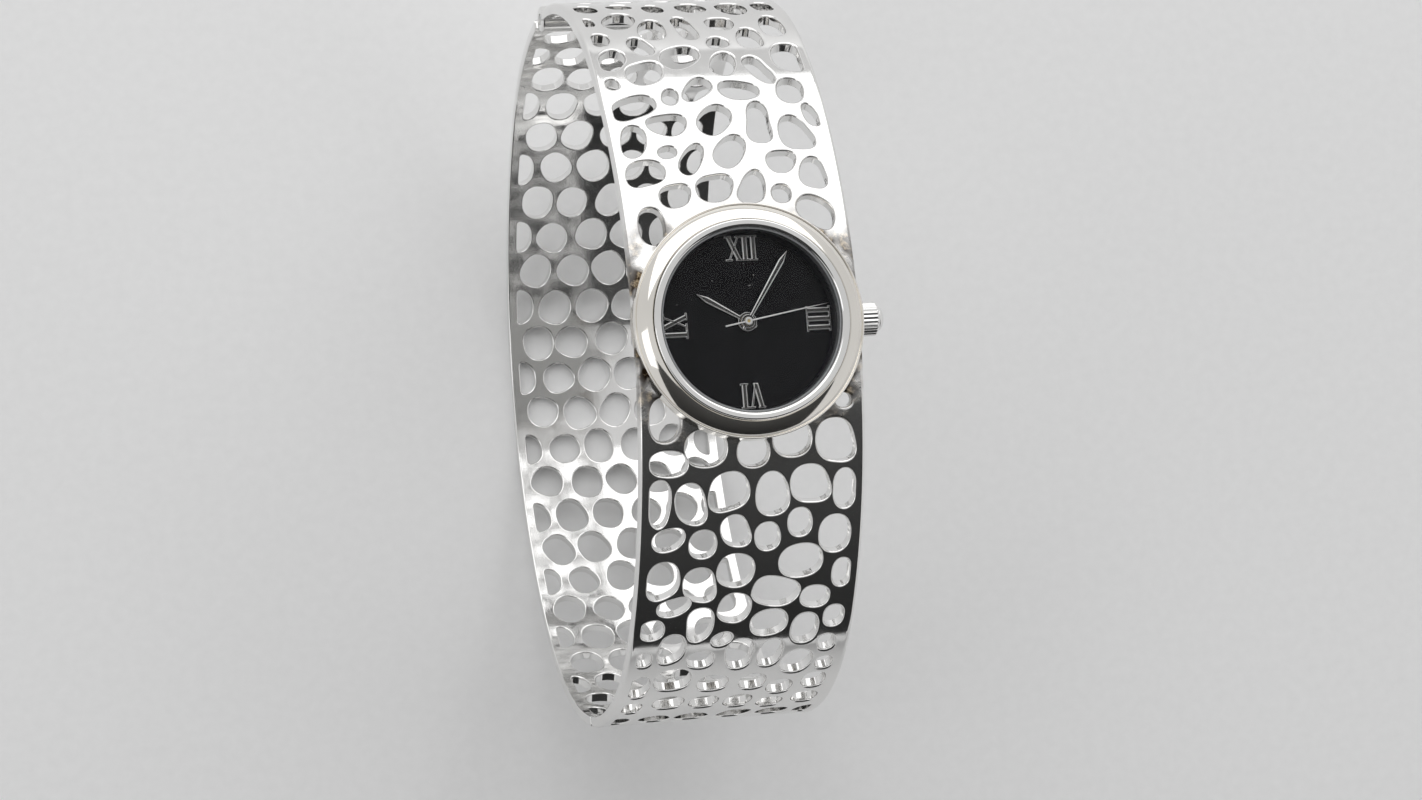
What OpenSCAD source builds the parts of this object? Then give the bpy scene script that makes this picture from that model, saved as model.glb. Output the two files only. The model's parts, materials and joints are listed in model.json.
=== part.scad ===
// Bangle watch: a round quartz watch head set in a rigid openwork oval bangle.
// Dial up, 12 o'clock towards +Y, crown towards +X, origin at the centre of the case back's outer face.

/* [Bangle] */
// Width of the band, across the wrist
band_w = 20; // [18:0.5:26]
// Wall of the band
band_t = 1.0; // [0.8:0.1:1.3]
// Outside length of the oval, 12 o'clock side to 6 o'clock side
oval_long = 66; // [62:1:74]
// Outside depth of the oval, under the watch head to the back
oval_deep = 52; // [50:1:60]
// Outside radius of the oval's two ends
end_r = 22; // [20:0.5:23]
// Height of the band's crest above the case back
band_top_z = 4.95; // [4.6:0.05:5.3]
// Plain rim left along each edge of the band
rim_w = 0.9; // [0.7:0.1:1.4]
// Where the halves meet, in degrees round from the crest
join_angle = 95; // [92:1:100]
// Gap between the two halves' end faces
join_gap = 0.2; // [0.1:0.05:0.4]
// Plain metal left beside each join
join_margin = 1.9; // [1.5:0.1:3]
// Half the length of the flat under the back half, on which the watch stands
stand_flat = 5; // [4:0.5:6]

/* [Openings] */
// Opening sizes, as a share of the size listed for each
opening_scale = 1.0; // [0.8:0.05:1.05]
// Metal kept inside each listed outline for its rounded edge
opening_inset = 0.12; // [0:0.02:0.2]
// Row pitch of the openings on the back half
row_pitch = 3.55; // [3.3:0.05:4.5]
// Openings in a full row on the back half
row_count = 5; // [4:1:6]
// Metal left between openings on the back half
web_w = 0.75; // [0.6:0.05:1.2]

/* [Hinge] */
// Outside diameter of the hinge knuckles
knuckle_d = 2.4; // [2:0.1:3]
// Diameter of the hinge pin
hinge_pin_d = 1.0; // [0.8:0.1:1.3]
// Length of the middle knuckle
middle_knuckle_l = 9; // [6:0.5:11]
// Running clearance round the hinge pin
hinge_clear = 0.05; // [0.03:0.01:0.1]
// Gap between knuckles, end to end
knuckle_gap = 0.1; // [0.05:0.05:0.3]

/* [Clasp] */
// Width of the clasp box
clasp_w = 9.2; // [7:0.2:11]
// Depth of the clasp box, towards the wrist
clasp_d = 2.2; // [2:0.1:2.6]
// Height of the clasp box
clasp_h = 5; // [4:0.5:7]
// Sheet that the clasp box is folded from
clasp_t = 0.35; // [0.3:0.05:0.4]
// Leaf that the tongue is folded from
tongue_t = 0.3; // [0.2:0.05:0.3]

/* [Case] */
// Diameter of the case
case_d = 20.3; // [19.5:0.1:20.6]
// Diameter of the barrel that passes through the band
barrel_d = 18; // [17.8:0.1:18.2]
// Bore of the case
case_bore_d = 16.5; // [16.4:0.1:16.8]
// Height of the dial's face above the case back
dial_z = 4.4; // [4.3:0.05:4.5]
// Height of the case's outer edge above the dial
edge_rise = 1.1; // [1:0.05:1.4]
// Height of the case's shoulder above the dial
shoulder_rise = 1.95; // [1.9:0.05:2.2]
// Slope of the case's dome at its outer edge, in degrees
dome_foot = 54; // [48:1:70]
// Slope of the case's dome beside the bezel ring, in degrees
dome_head = 12; // [4:1:20]
// Diameter of the pressed-in bezel ring
bezel_d = 17.3; // [17.2:0.05:17.5]
// Opening of the bezel ring
bezel_bore_d = 15.84; // [15.7:0.02:16]
// Height of the bezel ring's top above the dial
bezel_rise = 2.1; // [2:0.05:2.4]
// Thickness of the crystal
crystal_t = 0.9; // [0.8:0.05:1]
// Radial width of the crystal's gasket
gasket_w = 0.14; // [0.1:0.02:0.2]
// Thickness of the case back's plate
back_t = 0.6; // [0.5:0.05:0.7]

/* [Dial and hands] */
// Thickness of the dial
dial_t = 0.4; // [0.3:0.05:0.4]
// Opening of the flange ring round the dial
flange_bore_d = 15.2; // [15:0.1:15.4]
// Radius of the ring that the numerals are centred on
numeral_r = 6.36; // [6:0.02:6.4]
// Height of a numeral
numeral_h = 2.15; // [1.6:0.05:2.2]
// Thickness of a numeral
numeral_t = 0.2; // [0.1:0.05:0.3]
// Length of the hour hand
hour_l = 5.0; // [3.5:0.1:5.2]
// Length of the minute hand
minute_l = 7.1; // [6:0.1:7.2]
// Length of the second hand
second_l = 7.3; // [6:0.1:7.4]
// Tail of the second hand
second_tail_l = 2.1; // [1.5:0.1:2.6]
// Thickness of a hand
hand_t = 0.1; // [0.08:0.01:0.12]
// Where the hour hand points, in degrees clockwise from twelve
hour_angle = 300.5; // [0:0.5:360]
// Where the minute hand points, in degrees clockwise from twelve
minute_angle = 33.5; // [0:0.5:360]
// Where the second hand points, in degrees clockwise from twelve
second_angle = 80; // [0:0.5:360]

/* [Crown] */
// Diameter of the crown
crown_d = 3.0; // [2.6:0.1:3]
// Length of the crown
crown_l = 2.4; // [2:0.1:3]
// Flutes round the crown
flute_count = 24; // [16:1:30]
// Gap between the case and the crown when it is pushed in
crown_gap = 0.2; // [0.15:0.05:0.3]
// Height of the crown's axis above the case back
stem_z = 2.45; // [2.35:0.05:2.45]
// Diameter of the stem
stem_d = 0.7; // [0.6:0.05:0.7]
// Outside diameter of the crown tube
tube_d = 1.5; // [1.4:0.05:1.6]

/* [Hidden] */

$fn = 64;
polished = "#d9d8d6";
satin = "#b8b8b8";
brassy = "#c8a45a";
black_gloss = "#101012";

// The oval is four arcs that meet arc_turn away from the crest and the back.
end_y = oval_long / 2 - end_r;
half_deep = oval_deep / 2;
arc_turn = 2 * atan((half_deep - end_r) / end_y);
crest_r = end_r + end_y / sin(arc_turn);
oval_z = band_top_z - half_deep;
crest_z = band_top_z - crest_r;
back_z = oval_z - half_deep + crest_r;
stand_z = back_z - sqrt(pow(crest_r, 2) - pow(stand_flat, 2));
deg = PI / 180;
crest_l = crest_r * arc_turn * deg;
end_l = end_r * (180 - 2 * arc_turn) * deg;
join_l = crest_l + end_r * (join_angle - arc_turn) * deg;
loop_l = 4 * crest_l + 2 * end_l;
rim_x = band_w / 2 - rim_w;
mid_r = end_r - band_t / 2;
gap_turn = join_gap / 2 / mid_r / deg;

// The hinge stands at the 12 o'clock join, on the middle of the wall.
knuckle_r = knuckle_d / 2;
pin_r = hinge_pin_d / 2;
hinge_y = end_y + mid_r * sin(join_angle);
join_z = oval_z + mid_r * cos(join_angle);
knuckle_room = 0.2;
setback_turn = (knuckle_r + knuckle_room) / mid_r / deg;
hinge_l = band_w - 0.4;
pin_press = 0.01;

// The clasp box stands inside the 6 o'clock join, upright, so that the tongue leaves it straight.
seat_gap = 0.03;
inner_r = end_r - band_t;
clasp_rise = 0.1;
clasp_low = join_z + clasp_rise;
clasp_top = clasp_low + clasp_h;
clasp_y = seat_gap - end_y - sqrt(pow(inner_r, 2) - pow(clasp_top - oval_z, 2));
tongue_d = 0.9;
tongue_room = 0.35;
tongue_y = clasp_y + clasp_t + tongue_room;
tongue_side_room = 0.3;
tongue_w = clasp_w - 2 * (clasp_t + tongue_side_room);
tongue_end_room = 0.4;
foot_drop = 2.6;
foot_low = join_z - foot_drop;
foot_h = 0.6;
foot_y = seat_gap - end_y - sqrt(pow(inner_r, 2) - pow(foot_low - oval_z, 2));

// The watch head, from the case back up.
case_r = case_d / 2;
barrel_r = barrel_d / 2;
bore_r = case_bore_d / 2;
bezel_r = bezel_d / 2;
bezel_bore_r = bezel_bore_d / 2;
flange_bore_r = flange_bore_d / 2;
seat_clear = 0.05;
collar_w = 0.6;
edge_z = dial_z + edge_rise;
shoulder_z = dial_z + shoulder_rise;
ledge_rise = 0.95;
ledge_z = dial_z + ledge_rise;
bezel_top_z = dial_z + bezel_rise;
back_gasket_h = 0.25;
back_lip_h = 0.6;
back_lip_t = 0.25;
case_low_z = back_t + back_gasket_h;
dial_hole_r = 0.75;
case_drop = crest_r - sqrt(pow(crest_r, 2) - pow(case_r, 2));
slip = 0.02;

// The movement, from the bridge at the back up to the dial.
bridge_z = 1.05;
bridge_t = 0.2;
clamp_room = 0.12;
clamp_t = 0.1;
plate_z = 2.9;
plate_t = 0.6;
plate_top_z = plate_z + plate_t;
dial_low_z = dial_z - dial_t;
plate_r = 7.6;
plate_half_y = 6.15;
ring_r = bore_r - 0.1;
pivot_r = 0.1;
pivot_clear = 0.03;
pivot_low_z = bridge_z + slip;
pivot_top_z = plate_z + 0.3;
stud_r = 0.15;
wheel_t = 0.15;
leaf_t = 0.25;
leaf_lead = 0.05;
inter_z = 1.45;
second_z = 1.8;
third_z = 2.2;
centre_z = 2.6;
second_arbor_r = 0.13;
second_arbor_clear = 0.04;
cannon_r = 0.36;
cannon_clear = 0.06;
hour_tube_r = 0.6;
battery_at = [-3.7, -2.6];
battery_r = 2.9;
battery_h = 2.1;
battery_z = 1.07;
battery_step_w = 0.45;
battery_step_h = 0.3;
battery_room = 0.15;
pillars = [[3.5, 0.9], [-1.9, 1.2], [0.4, -2.6]];
pillar_r = 0.4;
screw_r = 0.2;
screw_head_r = 0.35;
screw_head_h = 0.15;
screw_slot_w = 0.1;
screw_slot_h = 0.07;
screw_end_room = 0.3;
board_z = 0.88;
board_t = 0.12;
coil_y = 5.05;
coil_z = 1.8;
coil_r = 0.8;
coil_l = 6.4;
core_l = 9.8;
core_w = 1;
core_t = 0.24;
stator_z = 1.95;
stator_t = 0.4;
stator_low_y = 2.1;
stator_bar_w = 1.9;
stator_arm_w = 1;
stator_posts = [[-4.4, 3], [4.4, 3]];
stator_post_r = 0.35;
rotor_room_r = 0.8;
rotor_r = 0.6;
can_r = 0.55;
can_l = 3.6;
lever_at = [5.85, 1.9];
lever_rest = 10.3;
lever_reach = 1.677;
lever_half_w = 0.12;
lever_t = 0.2;
lever_post_r = 0.25;
lever_eye_r = 0.5;

// Tooth counts, and the tooth size of each pair as its pitch diameter over its count.
leaves = 8;
inter_teeth = 48;
second_teeth = 40;
third_teeth = 60;
centre_teeth = 64;
cannon_teeth = 12;
minute_teeth = 36;
minute_leaves = 10;
hour_teeth = 40;
setting_teeth = 18;
rotor_m = 0.06;
second_m = 0.07;
third_reach = 1.62;
third_m = 2 * third_reach / (leaves + third_teeth);
centre_m = 2 * third_reach / (leaves + centre_teeth);
cannon_m = 0.1;
motion_reach = cannon_m * (cannon_teeth + minute_teeth) / 2;
hour_m = 2 * motion_reach / (minute_leaves + hour_teeth);
inter_reach = second_m * (leaves + second_teeth) / 2;
rotor_reach = rotor_m * (leaves + inter_teeth) / 2;
setting_reach = cannon_m * (minute_teeth + setting_teeth) / 2;

// Directions from arbor to arbor, in degrees from +X.
inter_dir = 70;
rotor_dir = 60;
third_dir = -20;
minute_dir = -35;
setting_dir = 12.5;
function step_to(from, reach, dir) = from + reach * [cos(dir), sin(dir)];
centre_at = [0, 0];
inter_at = step_to(centre_at, inter_reach, inter_dir);
rotor_at = step_to(inter_at, rotor_reach, rotor_dir);
third_at = step_to(centre_at, third_reach, third_dir);
minute_at = step_to(centre_at, motion_reach, minute_dir);
setting_at = step_to(minute_at, setting_reach, setting_dir);

// Crown and stem.
crown_r = crown_d / 2;
stem_r = stem_d / 2;
tube_r = tube_d / 2;
crown_x = case_r + crown_gap;
crown_side_l = crown_l * 0.68;
crown_cup_r = crown_r - 0.35;
crown_cup_l = 1.3;
stem_end_x = 3.9;
groove_x = 5.2;
groove_w = 0.7;
groove_r = 0.22;
stem_head_r = 0.43;
stem_head_l = 0.6;
stem_grip_l = 0.45;

// Where along the band a length s from the crest lies: its turn from +Z, arc centre and radius.
function band_turn(s) = s < crest_l ? s / crest_r / deg
    : s < crest_l + end_l ? arc_turn + (s - crest_l) / end_r / deg
    : 180 - arc_turn + (s - crest_l - end_l) / crest_r / deg;
function arc_at(a) = a < arc_turn ? [0, crest_z, crest_r]
    : a < 180 - arc_turn ? [end_y, oval_z, end_r] : [0, back_z, crest_r];

// Openings seen beside and below the watch head, each as its place across the band, its distance
// from the crest (positive towards 12 o'clock), width, height, lean, taper and waist. An eighth
// number is the direction of a corner, in degrees round from the band's right side.
corner_pull = 0.25;
listed_rim = 9.1;
listed_join = 48.2;
upper_openings = [
    [-7.55, 8.7, 2.5, 3.6, 0, 0, 0], [7.1, 9.6, 3.6, 2.7, -32, 0, 0, 300],
    [-5.2, 11.4, 2.8, 2.3, 8, 0, 0, 32], [-1.6, 12, 3.3, 2.7, 5, 0, 0, 33],
    [2, 12.2, 2.3, 3.3, -18, -0.35, 0, 228], [4.35, 11.3, 1.9, 1.9, 0, 0, 0],
    [7.45, 13.3, 2.4, 3.2, -10, -0.2, 0, 314], [-7.3, 13.8, 3.6, 2.6, 5, 0, 0, 221],
    [-3.05, 15, 1.9, 3.7, -32, -0.15, 0], [0.35, 15.5, 2.6, 3.5, -38, 0, 0, 53],
    [4.75, 14.4, 2.6, 2.4, 0, 0.1, 0, 21], [-5.1, 15.75, 1.9, 1.4, 12, 0, 0],
    [-7.85, 17.15, 2.4, 3.3, -10, 0, 0, 245], [-4.4, 18.6, 3.3, 2.5, 6, 0.3, 0, 180],
    [-0.3, 19.05, 2.8, 3.9, -42, 0, 0], [3.6, 18.7, 2.9, 4.8, -5, -0.26, 0.3],
    [6.55, 17.5, 2.9, 3.8, 8, -0.25, 0, 322], [8.4, 19.4, 1.4, 2.6, 12, -0.2, 0, 302],
    [7.2, 22.15, 2.6, 3.2, -12, 0, 0], [-7.1, 20.8, 4.2, 2.5, 18, 0, 0, 216],
    [-3.75, 21.8, 1.6, 2.1, -20, 0, 0], [-1.1, 22.7, 2.1, 3.2, -45, 0.2, 0, 225],
    [2.35, 22.35, 3.4, 2.4, -10, 0.15, 0, 352], [-8.6, 23.5, 1.4, 1.5, 0, 0, 0],
    [-5.55, 24.7, 3.4, 2.8, 18, 0, 0, 38], [1.9, 25.75, 2.4, 3.3, -25, -0.15, 0],
    [4.85, 24.9, 2, 3.7, 25, 0.2, 0.1, 319], [8, 26.4, 3.2, 3.9, 0, 0, 0, 318],
    [-8.05, 26.6, 2.4, 3.2, -38, 0, 0], [-2, 26.7, 3.6, 2.9, 28, 0, 0, 27],
    [-5.15, 28.5, 2, 2.9, 20, 0, 0, 328], [1.95, 28.75, 2.1, 1.8, 30, -0.2, 0, 333],
    [5.15, 29.4, 2.5, 3.5, 0, -0.25, 0], [-8.5, 29.6, 2, 2.2, -20, 0, 0],
    [-3.35, 31.3, 2.7, 4, -10, -0.2, 0], [-0.3, 31.5, 2.3, 4.7, 8, -0.1, 0.2],
    [3.1, 32, 2.8, 2.7, 0, 0.2, 0], [7.75, 31.5, 2.4, 4.2, 0, -0.2, 0],
    [-8.85, 32.9, 1.5, 2, 0, 0, 0], [-5.95, 33.2, 3, 4.1, -28, 0, 0],
    [-8.1, 36.8, 2.3, 3.2, 0, 0, 0], [-4.9, 37.4, 2.6, 2.5, 0, 0, 0],
    [-2, 36.4, 2.1, 3.2, 0, 0, 0], [1.5, 36.4, 3, 3.6, 0, 0, 0], [5.2, 35.9, 3, 4.2, 0, 0.1, 0],
    [8.2, 36.3, 2.2, 3.4, 0, 0, 0]];
lower_openings = [
    [-7.75, -8, 3, 4.1, 0, 0, 0], [-7.5, -11.8, 3.6, 2.4, -3, 0, 0],
    [-4.2, -10.6, 3.9, 3.4, 0, 0, 0], [0, -11.1, 3, 2.9, 0, 0, 0],
    [3.45, -10.1, 3.6, 3.4, 0, 0, 0], [7.25, -10.4, 3.5, 3.9, 0, 0, 0, 319],
    [8.1, -7.1, 1.7, 1.5, 0, 0, 0], [-8.25, -15.1, 2.1, 4, 0, 0.15, 0, 262],
    [-5.55, -15.35, 2.8, 3.7, 8, 0, 0, 306], [-2.05, -14.45, 3.6, 3.5, 12, 0, 0, 222],
    [1.75, -14.9, 3.1, 4.1, 5, -0.15, 0], [5, -14.15, 3.5, 3.5, 0, 0, 0, 329],
    [8.2, -14.8, 2.2, 3.8, 0, 0, 0], [-7.5, -18.65, 2.8, 2.2, 12, 0, 0, 25],
    [-4.3, -19.2, 2.6, 2.8, 0, 0, 0], [-1.5, -18.05, 2.6, 3, 20, 0, 0, 314],
    [1.45, -18.8, 2.4, 2.8, 10, 0, 0], [4.3, -17.65, 2.3, 2.8, 5, 0, 0],
    [7.5, -18.9, 3, 3.7, 0, 0, 0], [-7.6, -22.4, 3, 3.6, 5, 0, 0, 241],
    [-4.4, -23.05, 3, 3.4, 8, 0, 0, 309], [-1.2, -21.9, 3.5, 3.4, -10, 0, 0],
    [4.6, -21.3, 4.1, 3.4, 5, 0, 0], [8.4, -22.7, 1.9, 3, 0, 0, 0],
    [2.35, -24.2, 4.3, 3.1, -15, 0, 0.08, 358], [6.2, -25, 2.8, 2.4, -5, 0, 0],
    [-6.6, -25.3, 2.9, 1.9, 12, 0.1, 0, 29], [-3.9, -27.2, 2.5, 3.6, 5, 0.15, 0, 246],
    [-1, -25.7, 3.1, 3.2, -15, 0, 0], [2.3, -27.5, 3.5, 3, 10, 0, 0],
    [5.65, -28.4, 2.6, 3.6, 0, 0, 0], [8.15, -27.2, 2, 2.5, 0, 0, 0],
    [-8.2, -27.6, 2.3, 2.3, 10, 0, 0], [-6.15, -29.8, 2.4, 3.4, 0, 0, 0, 240],
    [-1.75, -29.05, 2, 1.6, 25, 0, 0], [0, -31.1, 2.6, 4, 8, 0, 0.05, 41],
    [2.9, -31.15, 2.4, 3.7, -8, 0, 0], [7.85, -30.2, 1.7, 2.1, 10, 0, 0],
    [-3.4, -31.4, 2.6, 2.4, -10, 0, 0], [-8.55, -31, 1.6, 2, 0, 0, 0],
    [5.5, -32.5, 3, 3.4, -25, 0, 0], [8.1, -32.9, 1.8, 2, 0, 0, 0],
    [-5.5, -34.1, 3.6, 3.5, 0, 0, 0], [-8.4, -35, 2.2, 3.8, 0, 0, 0],
    [-1.7, -35, 3.1, 2.8, 0, 0, 0], [2, -35.2, 2.7, 2.8, 0, 0, 0], [4.7, -36.4, 2.6, 2.8, 0, 0, 0],
    [7.7, -35.6, 2.4, 2.9, 0, 0, 0], [-5.1, -38.3, 3.1, 3, 0, 0, 0],
    [-1.8, -38.6, 2.9, 3, 0, 0, 0], [1.4, -38.9, 2.8, 3.3, 0, 0, 0],
    [4.5, -39.7, 2.6, 2.8, 0, 0, 0], [7.6, -39, 2.6, 2.9, 0, 0, 0], [-8.3, -39, 2, 2.8, 0, 0, 0]];

// Rows of openings where no hand-placed ones are: staggered, each nudged by a fixed rule.
function nudge(k) = sin(k * 78.2) * 43.76 - floor(sin(k * 78.2) * 43.76) - 0.5;
function row_openings(s_low, s_high, seed) = let (
        rows = floor((s_high - s_low) / row_pitch),
        pitch = min((s_high - s_low) / rows, 1.1 * row_pitch),
        step = 2 * rim_x / row_count)
    [for (i = [0 : rows - 1]) let (odd = (i + seed) % 2)
        for (j = [0 : row_count - 1 + odd]) let (k = seed * 31 + i * 7 + j,
                end_one = odd == 1 && (j == 0 || j == row_count))
            [(-rim_x + (j + 0.5 - odd * 0.5) * step) + (end_one ? 0 : 0.35 * nudge(k)),
            s_low + (i + 0.5) * pitch + 0.35 * nudge(k + 3),
            step - web_w + 0.35 * nudge(k + 5), pitch * 1.06 - web_w + 0.7 * nudge(k + 9),
            end_one ? 0 : 70 * nudge(k + 13), 0.3 * nudge(k + 17), 0]];

// One opening's outline, about its own centre, with its corner drawn out if it has one.
function corner_share(o, p) = len(o) < 8 ? 1
    : 1 + corner_pull * pow(max(0, cos(atan2(p[1], p[0]) - o[7])), 6);
function outline(o, inset) = [for (i = [0 : 11]) let (a = 30 * i + 15, c = cos(a), s = sin(a),
        px = (o[2] / 2 - inset) * sign(c) * pow(abs(c), 0.85) * (1 + o[5] * s)
            * (1 - o[6] * (1 - abs(s))),
        py = (o[3] / 2 - inset) * sign(s) * pow(abs(s), 0.85),
        p = [px * cos(o[4]) - py * sin(o[4]), px * sin(o[4]) + py * cos(o[4])])
    corner_share(o, p) * p];

module on_band(s) {
    turn = band_turn(abs(s));
    arc = arc_at(turn);
    side = s < 0 ? -1 : 1;
    translate([0, side * arc[0], arc[1]])
        rotate([-side * turn, 0, 0])
            translate([0, 0, arc[2]])
                children();
}

module opening(o) {
    across = rim_x / listed_rim;
    stretch = join_l / listed_join;
    on_band(stretch * o[1])
        translate([0, 0, -2 * band_t])
            linear_extrude(3 * band_t)
                polygon([for (p = outline(o, opening_inset))
                    [max(-rim_x, min(rim_x, across * (o[0] + opening_scale * p[0]))),
                    stretch * opening_scale * p[1]]]);
}

module row_opening(o) {
    on_band(o[1] > loop_l / 2 ? o[1] - loop_l : o[1])
        translate([0, 0, -2 * band_t])
            linear_extrude(3 * band_t)
                polygon([for (p = outline(o, 0))
                    [max(-rim_x, min(rim_x, o[0] + opening_scale * p[0])), opening_scale * p[1]]]);
}

// The oval's outline, drawn with y across and z up, grown by an amount.
module oval(grow) {
    side_y = 2 * oval_deep * sin(arc_turn);
    side_z = 2 * oval_deep * cos(arc_turn);
    for (side = [-1, 1])
        translate([side * end_y, oval_z]) circle(r = end_r + grow);
    for (up = [-1, 1])
        translate([0, up > 0 ? crest_z : back_z])
            intersection() {
                circle(r = crest_r + grow);
                polygon([[0, 0], [side_y, up * side_z], [0, up * 2 * oval_deep],
                    [-side_y, up * side_z]]);
            }
}

// A point at a length l from an end arc's centre, at turn a from straight up.
function ray(side, a, l) = [side * (end_y + l * sin(a)), oval_z + l * cos(a)];

// The half of the wall that lies on one side of the joins, at turns a from the crest.
module half_wall(up, hinge_a, clasp_a, x0, x1) {
    reach = 2 * oval_deep;
    translate([x0, 0, 0])
        rotate([90, 0, 90])
            linear_extrude(x1 - x0)
                intersection() {
                    difference() {
                        oval(0);
                        oval(-band_t);
                    }
                    polygon([ray(1, hinge_a, 0), ray(1, hinge_a, reach), [reach, up * reach],
                        [-reach, up * reach], ray(-1, clasp_a, reach), ray(-1, clasp_a, 0)]);
                }
}

// Takes the wall away beside the hinge between two turns, from x0 to x1.
module hinge_room(a0, a1, x0, x1) {
    translate([x0, 0, 0])
        rotate([90, 0, 90])
            linear_extrude(x1 - x0)
                polygon([ray(1, a0, end_r / 2), ray(1, a0, 2 * end_r), ray(1, a1, 2 * end_r),
                    ray(1, a1, end_r / 2)]);
}

module along_x(r, x0, x1) {
    translate([x0, 0, 0]) rotate([0, 90, 0]) cylinder(r = r, h = x1 - x0);
}

module at_hinge() {
    translate([0, hinge_y, join_z]) children();
}

module seat_post(r) {
    translate([0, 0, oval_z]) cylinder(r = r, h = oval_deep);
}

// A ring of band is left whole around the case; on a narrow band it stands past the edges.
module front_band() {
    half = band_w / 2;
    ring_r = barrel_r + collar_w;
    inside = middle_knuckle_l / 2 + knuckle_gap;
    color(polished)
    difference() {
        union() {
            difference() {
                half_wall(1, join_angle, join_angle - gap_turn, -half, half);
                hinge_room(join_angle - setback_turn, join_angle + 1, -inside, inside);
                for (side = [-1, 1])
                    hinge_room(join_angle - setback_turn, join_angle + 1,
                        side > 0 ? hinge_l / 2 : -band_w, side > 0 ? band_w : -hinge_l / 2);
            }
            for (side = [-1, 1])
                at_hinge() along_x(knuckle_r, side > 0 ? inside : -hinge_l / 2,
                    side > 0 ? hinge_l / 2 : -inside);
            if (ring_r > half)
                intersection() {
                    half_wall(1, join_angle, join_angle - gap_turn, -ring_r, ring_r);
                    seat_post(ring_r);
                }
        }
        difference() {
            union() {
                for (o = upper_openings) opening(o);
                for (o = lower_openings) opening(o);
                for (o = row_openings(39.2 * join_l / listed_join, join_l - join_margin, 2))
                    row_opening(o);
                for (o = row_openings(41.2 * join_l / listed_join, join_l - join_margin, 1))
                    row_opening([o[0], -o[1], o[2], o[3], o[4], o[5], o[6]]);
            }
            seat_post(ring_r);
        }
        seat_post(barrel_r + seat_clear);
        at_hinge() along_x(pin_r + pin_press, -band_w, band_w);
    }
}

module back_band() {
    half = band_w / 2;
    half_knuckle = middle_knuckle_l / 2;
    color(polished)
    difference() {
        union() {
            difference() {
                half_wall(-1, join_angle, join_angle + gap_turn, -half, half);
                for (side = [-1, 1])
                    hinge_room(join_angle - 1, join_angle + setback_turn,
                        side > 0 ? half_knuckle : -band_w, side > 0 ? band_w : -half_knuckle);
            }
            at_hinge() along_x(knuckle_r, -half_knuckle, half_knuckle);
        }
        for (o = row_openings(join_l + join_margin, loop_l - join_l - join_margin, 4))
            row_opening(o);
        at_hinge() along_x(pin_r + hinge_clear, -band_w, band_w);
        translate([-band_w, -band_w, stand_z - band_t]) cube([2 * band_w, 2 * band_w, band_t]);
    }
}

module hinge_pin() {
    color(satin)
    at_hinge() along_x(pin_r, -hinge_l / 2, hinge_l / 2);
}

module clasp_box() {
    color(satin)
    difference() {
        translate([-clasp_w / 2, clasp_y, clasp_low]) cube([clasp_w, clasp_d, clasp_h]);
        translate([clasp_t - clasp_w / 2, clasp_y + clasp_t, clasp_low - 1])
            cube([clasp_w - 2 * clasp_t, clasp_d - 2 * clasp_t, clasp_h + 1 - clasp_t]);
    }
}

module clasp_tongue() {
    leaf_low = join_z + tongue_end_room;
    leaf_top = clasp_top - clasp_t - tongue_end_room;
    inner_y = tongue_y + tongue_d - tongue_t;
    color(satin)
    union() {
        translate([-tongue_w / 2, tongue_y, leaf_low])
            cube([tongue_w, tongue_t, leaf_top - leaf_low]);
        translate([-tongue_w / 2, tongue_y, leaf_top - tongue_t])
            cube([tongue_w, tongue_d, tongue_t]);
        translate([-tongue_w / 2, inner_y, foot_low])
            cube([tongue_w, tongue_t, leaf_top - foot_low]);
        translate([-tongue_w / 2, foot_y, foot_low])
            cube([tongue_w, inner_y + tongue_t - foot_y, foot_h]);
    }
}

// The dome's profile, an arc from the case's outer edge up to the shoulder beside the bezel ring.
dome_in_r = bezel_r + slip;
function dome_across(a) = (sin(a) - sin(dome_head)) / (sin(dome_foot) - sin(dome_head));
function dome_down(a) = (cos(dome_head) - cos(a)) / (cos(dome_head) - cos(dome_foot));
dome = [for (i = [0 : 8]) let (a = dome_foot + (dome_head - dome_foot) * i / 8)
    [dome_in_r + (case_r - dome_in_r) * dome_across(a),
        shoulder_z - (shoulder_z - edge_z) * dome_down(a)]];

module case_body() {
    collar_low_z = band_top_z - case_drop;
    color(polished)
    difference() {
        union() {
            rotate_extrude()
                polygon([[bore_r, case_low_z], [barrel_r, case_low_z], [barrel_r, edge_z],
                    [dome_in_r, edge_z], [dome_in_r, ledge_z], [bore_r, ledge_z]]);
            difference() {
                rotate_extrude()
                    polygon(concat([[dome_in_r, collar_low_z], [case_r, collar_low_z]], dome));
                difference() {
                    translate([0, 0, crest_z])
                        along_x(crest_r + seat_clear, -band_w, band_w);
                    cylinder(r = barrel_r - slip, h = 2 * dial_z);
                }
            }
        }
        translate([0, 0, stem_z]) along_x(tube_r + pin_press, 0, barrel_r + 1);
    }
}

module bezel_ring() {
    outer_bevel = 0.1;
    inner_bevel = 0.25;
    color(polished)
    rotate_extrude()
        polygon([[bezel_bore_r, ledge_z + slip], [bezel_r, ledge_z + slip],
            [bezel_r, bezel_top_z - outer_bevel], [bezel_r - outer_bevel, bezel_top_z],
            [bezel_bore_r + inner_bevel, bezel_top_z], [bezel_bore_r, bezel_top_z - inner_bevel]]);
}

module crystal() {
    glass_r = bezel_bore_r - gasket_w - slip;
    top_z = ledge_z + slip + crystal_t;
    color("#e8f0f4", 0.3)
    rotate_extrude()
        polygon([[0, ledge_z + slip], [glass_r, ledge_z + slip], [glass_r, top_z - 0.1],
            [glass_r - 0.1, top_z], [0, top_z]]);
}

module crystal_gasket() {
    color("#6f7276")
    translate([0, 0, ledge_z + slip])
        difference() {
            cylinder(r = bezel_bore_r - slip / 2, h = crystal_t - 0.1);
            translate([0, 0, -1]) cylinder(r = bezel_bore_r - gasket_w, h = crystal_t + 2);
        }
}

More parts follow.
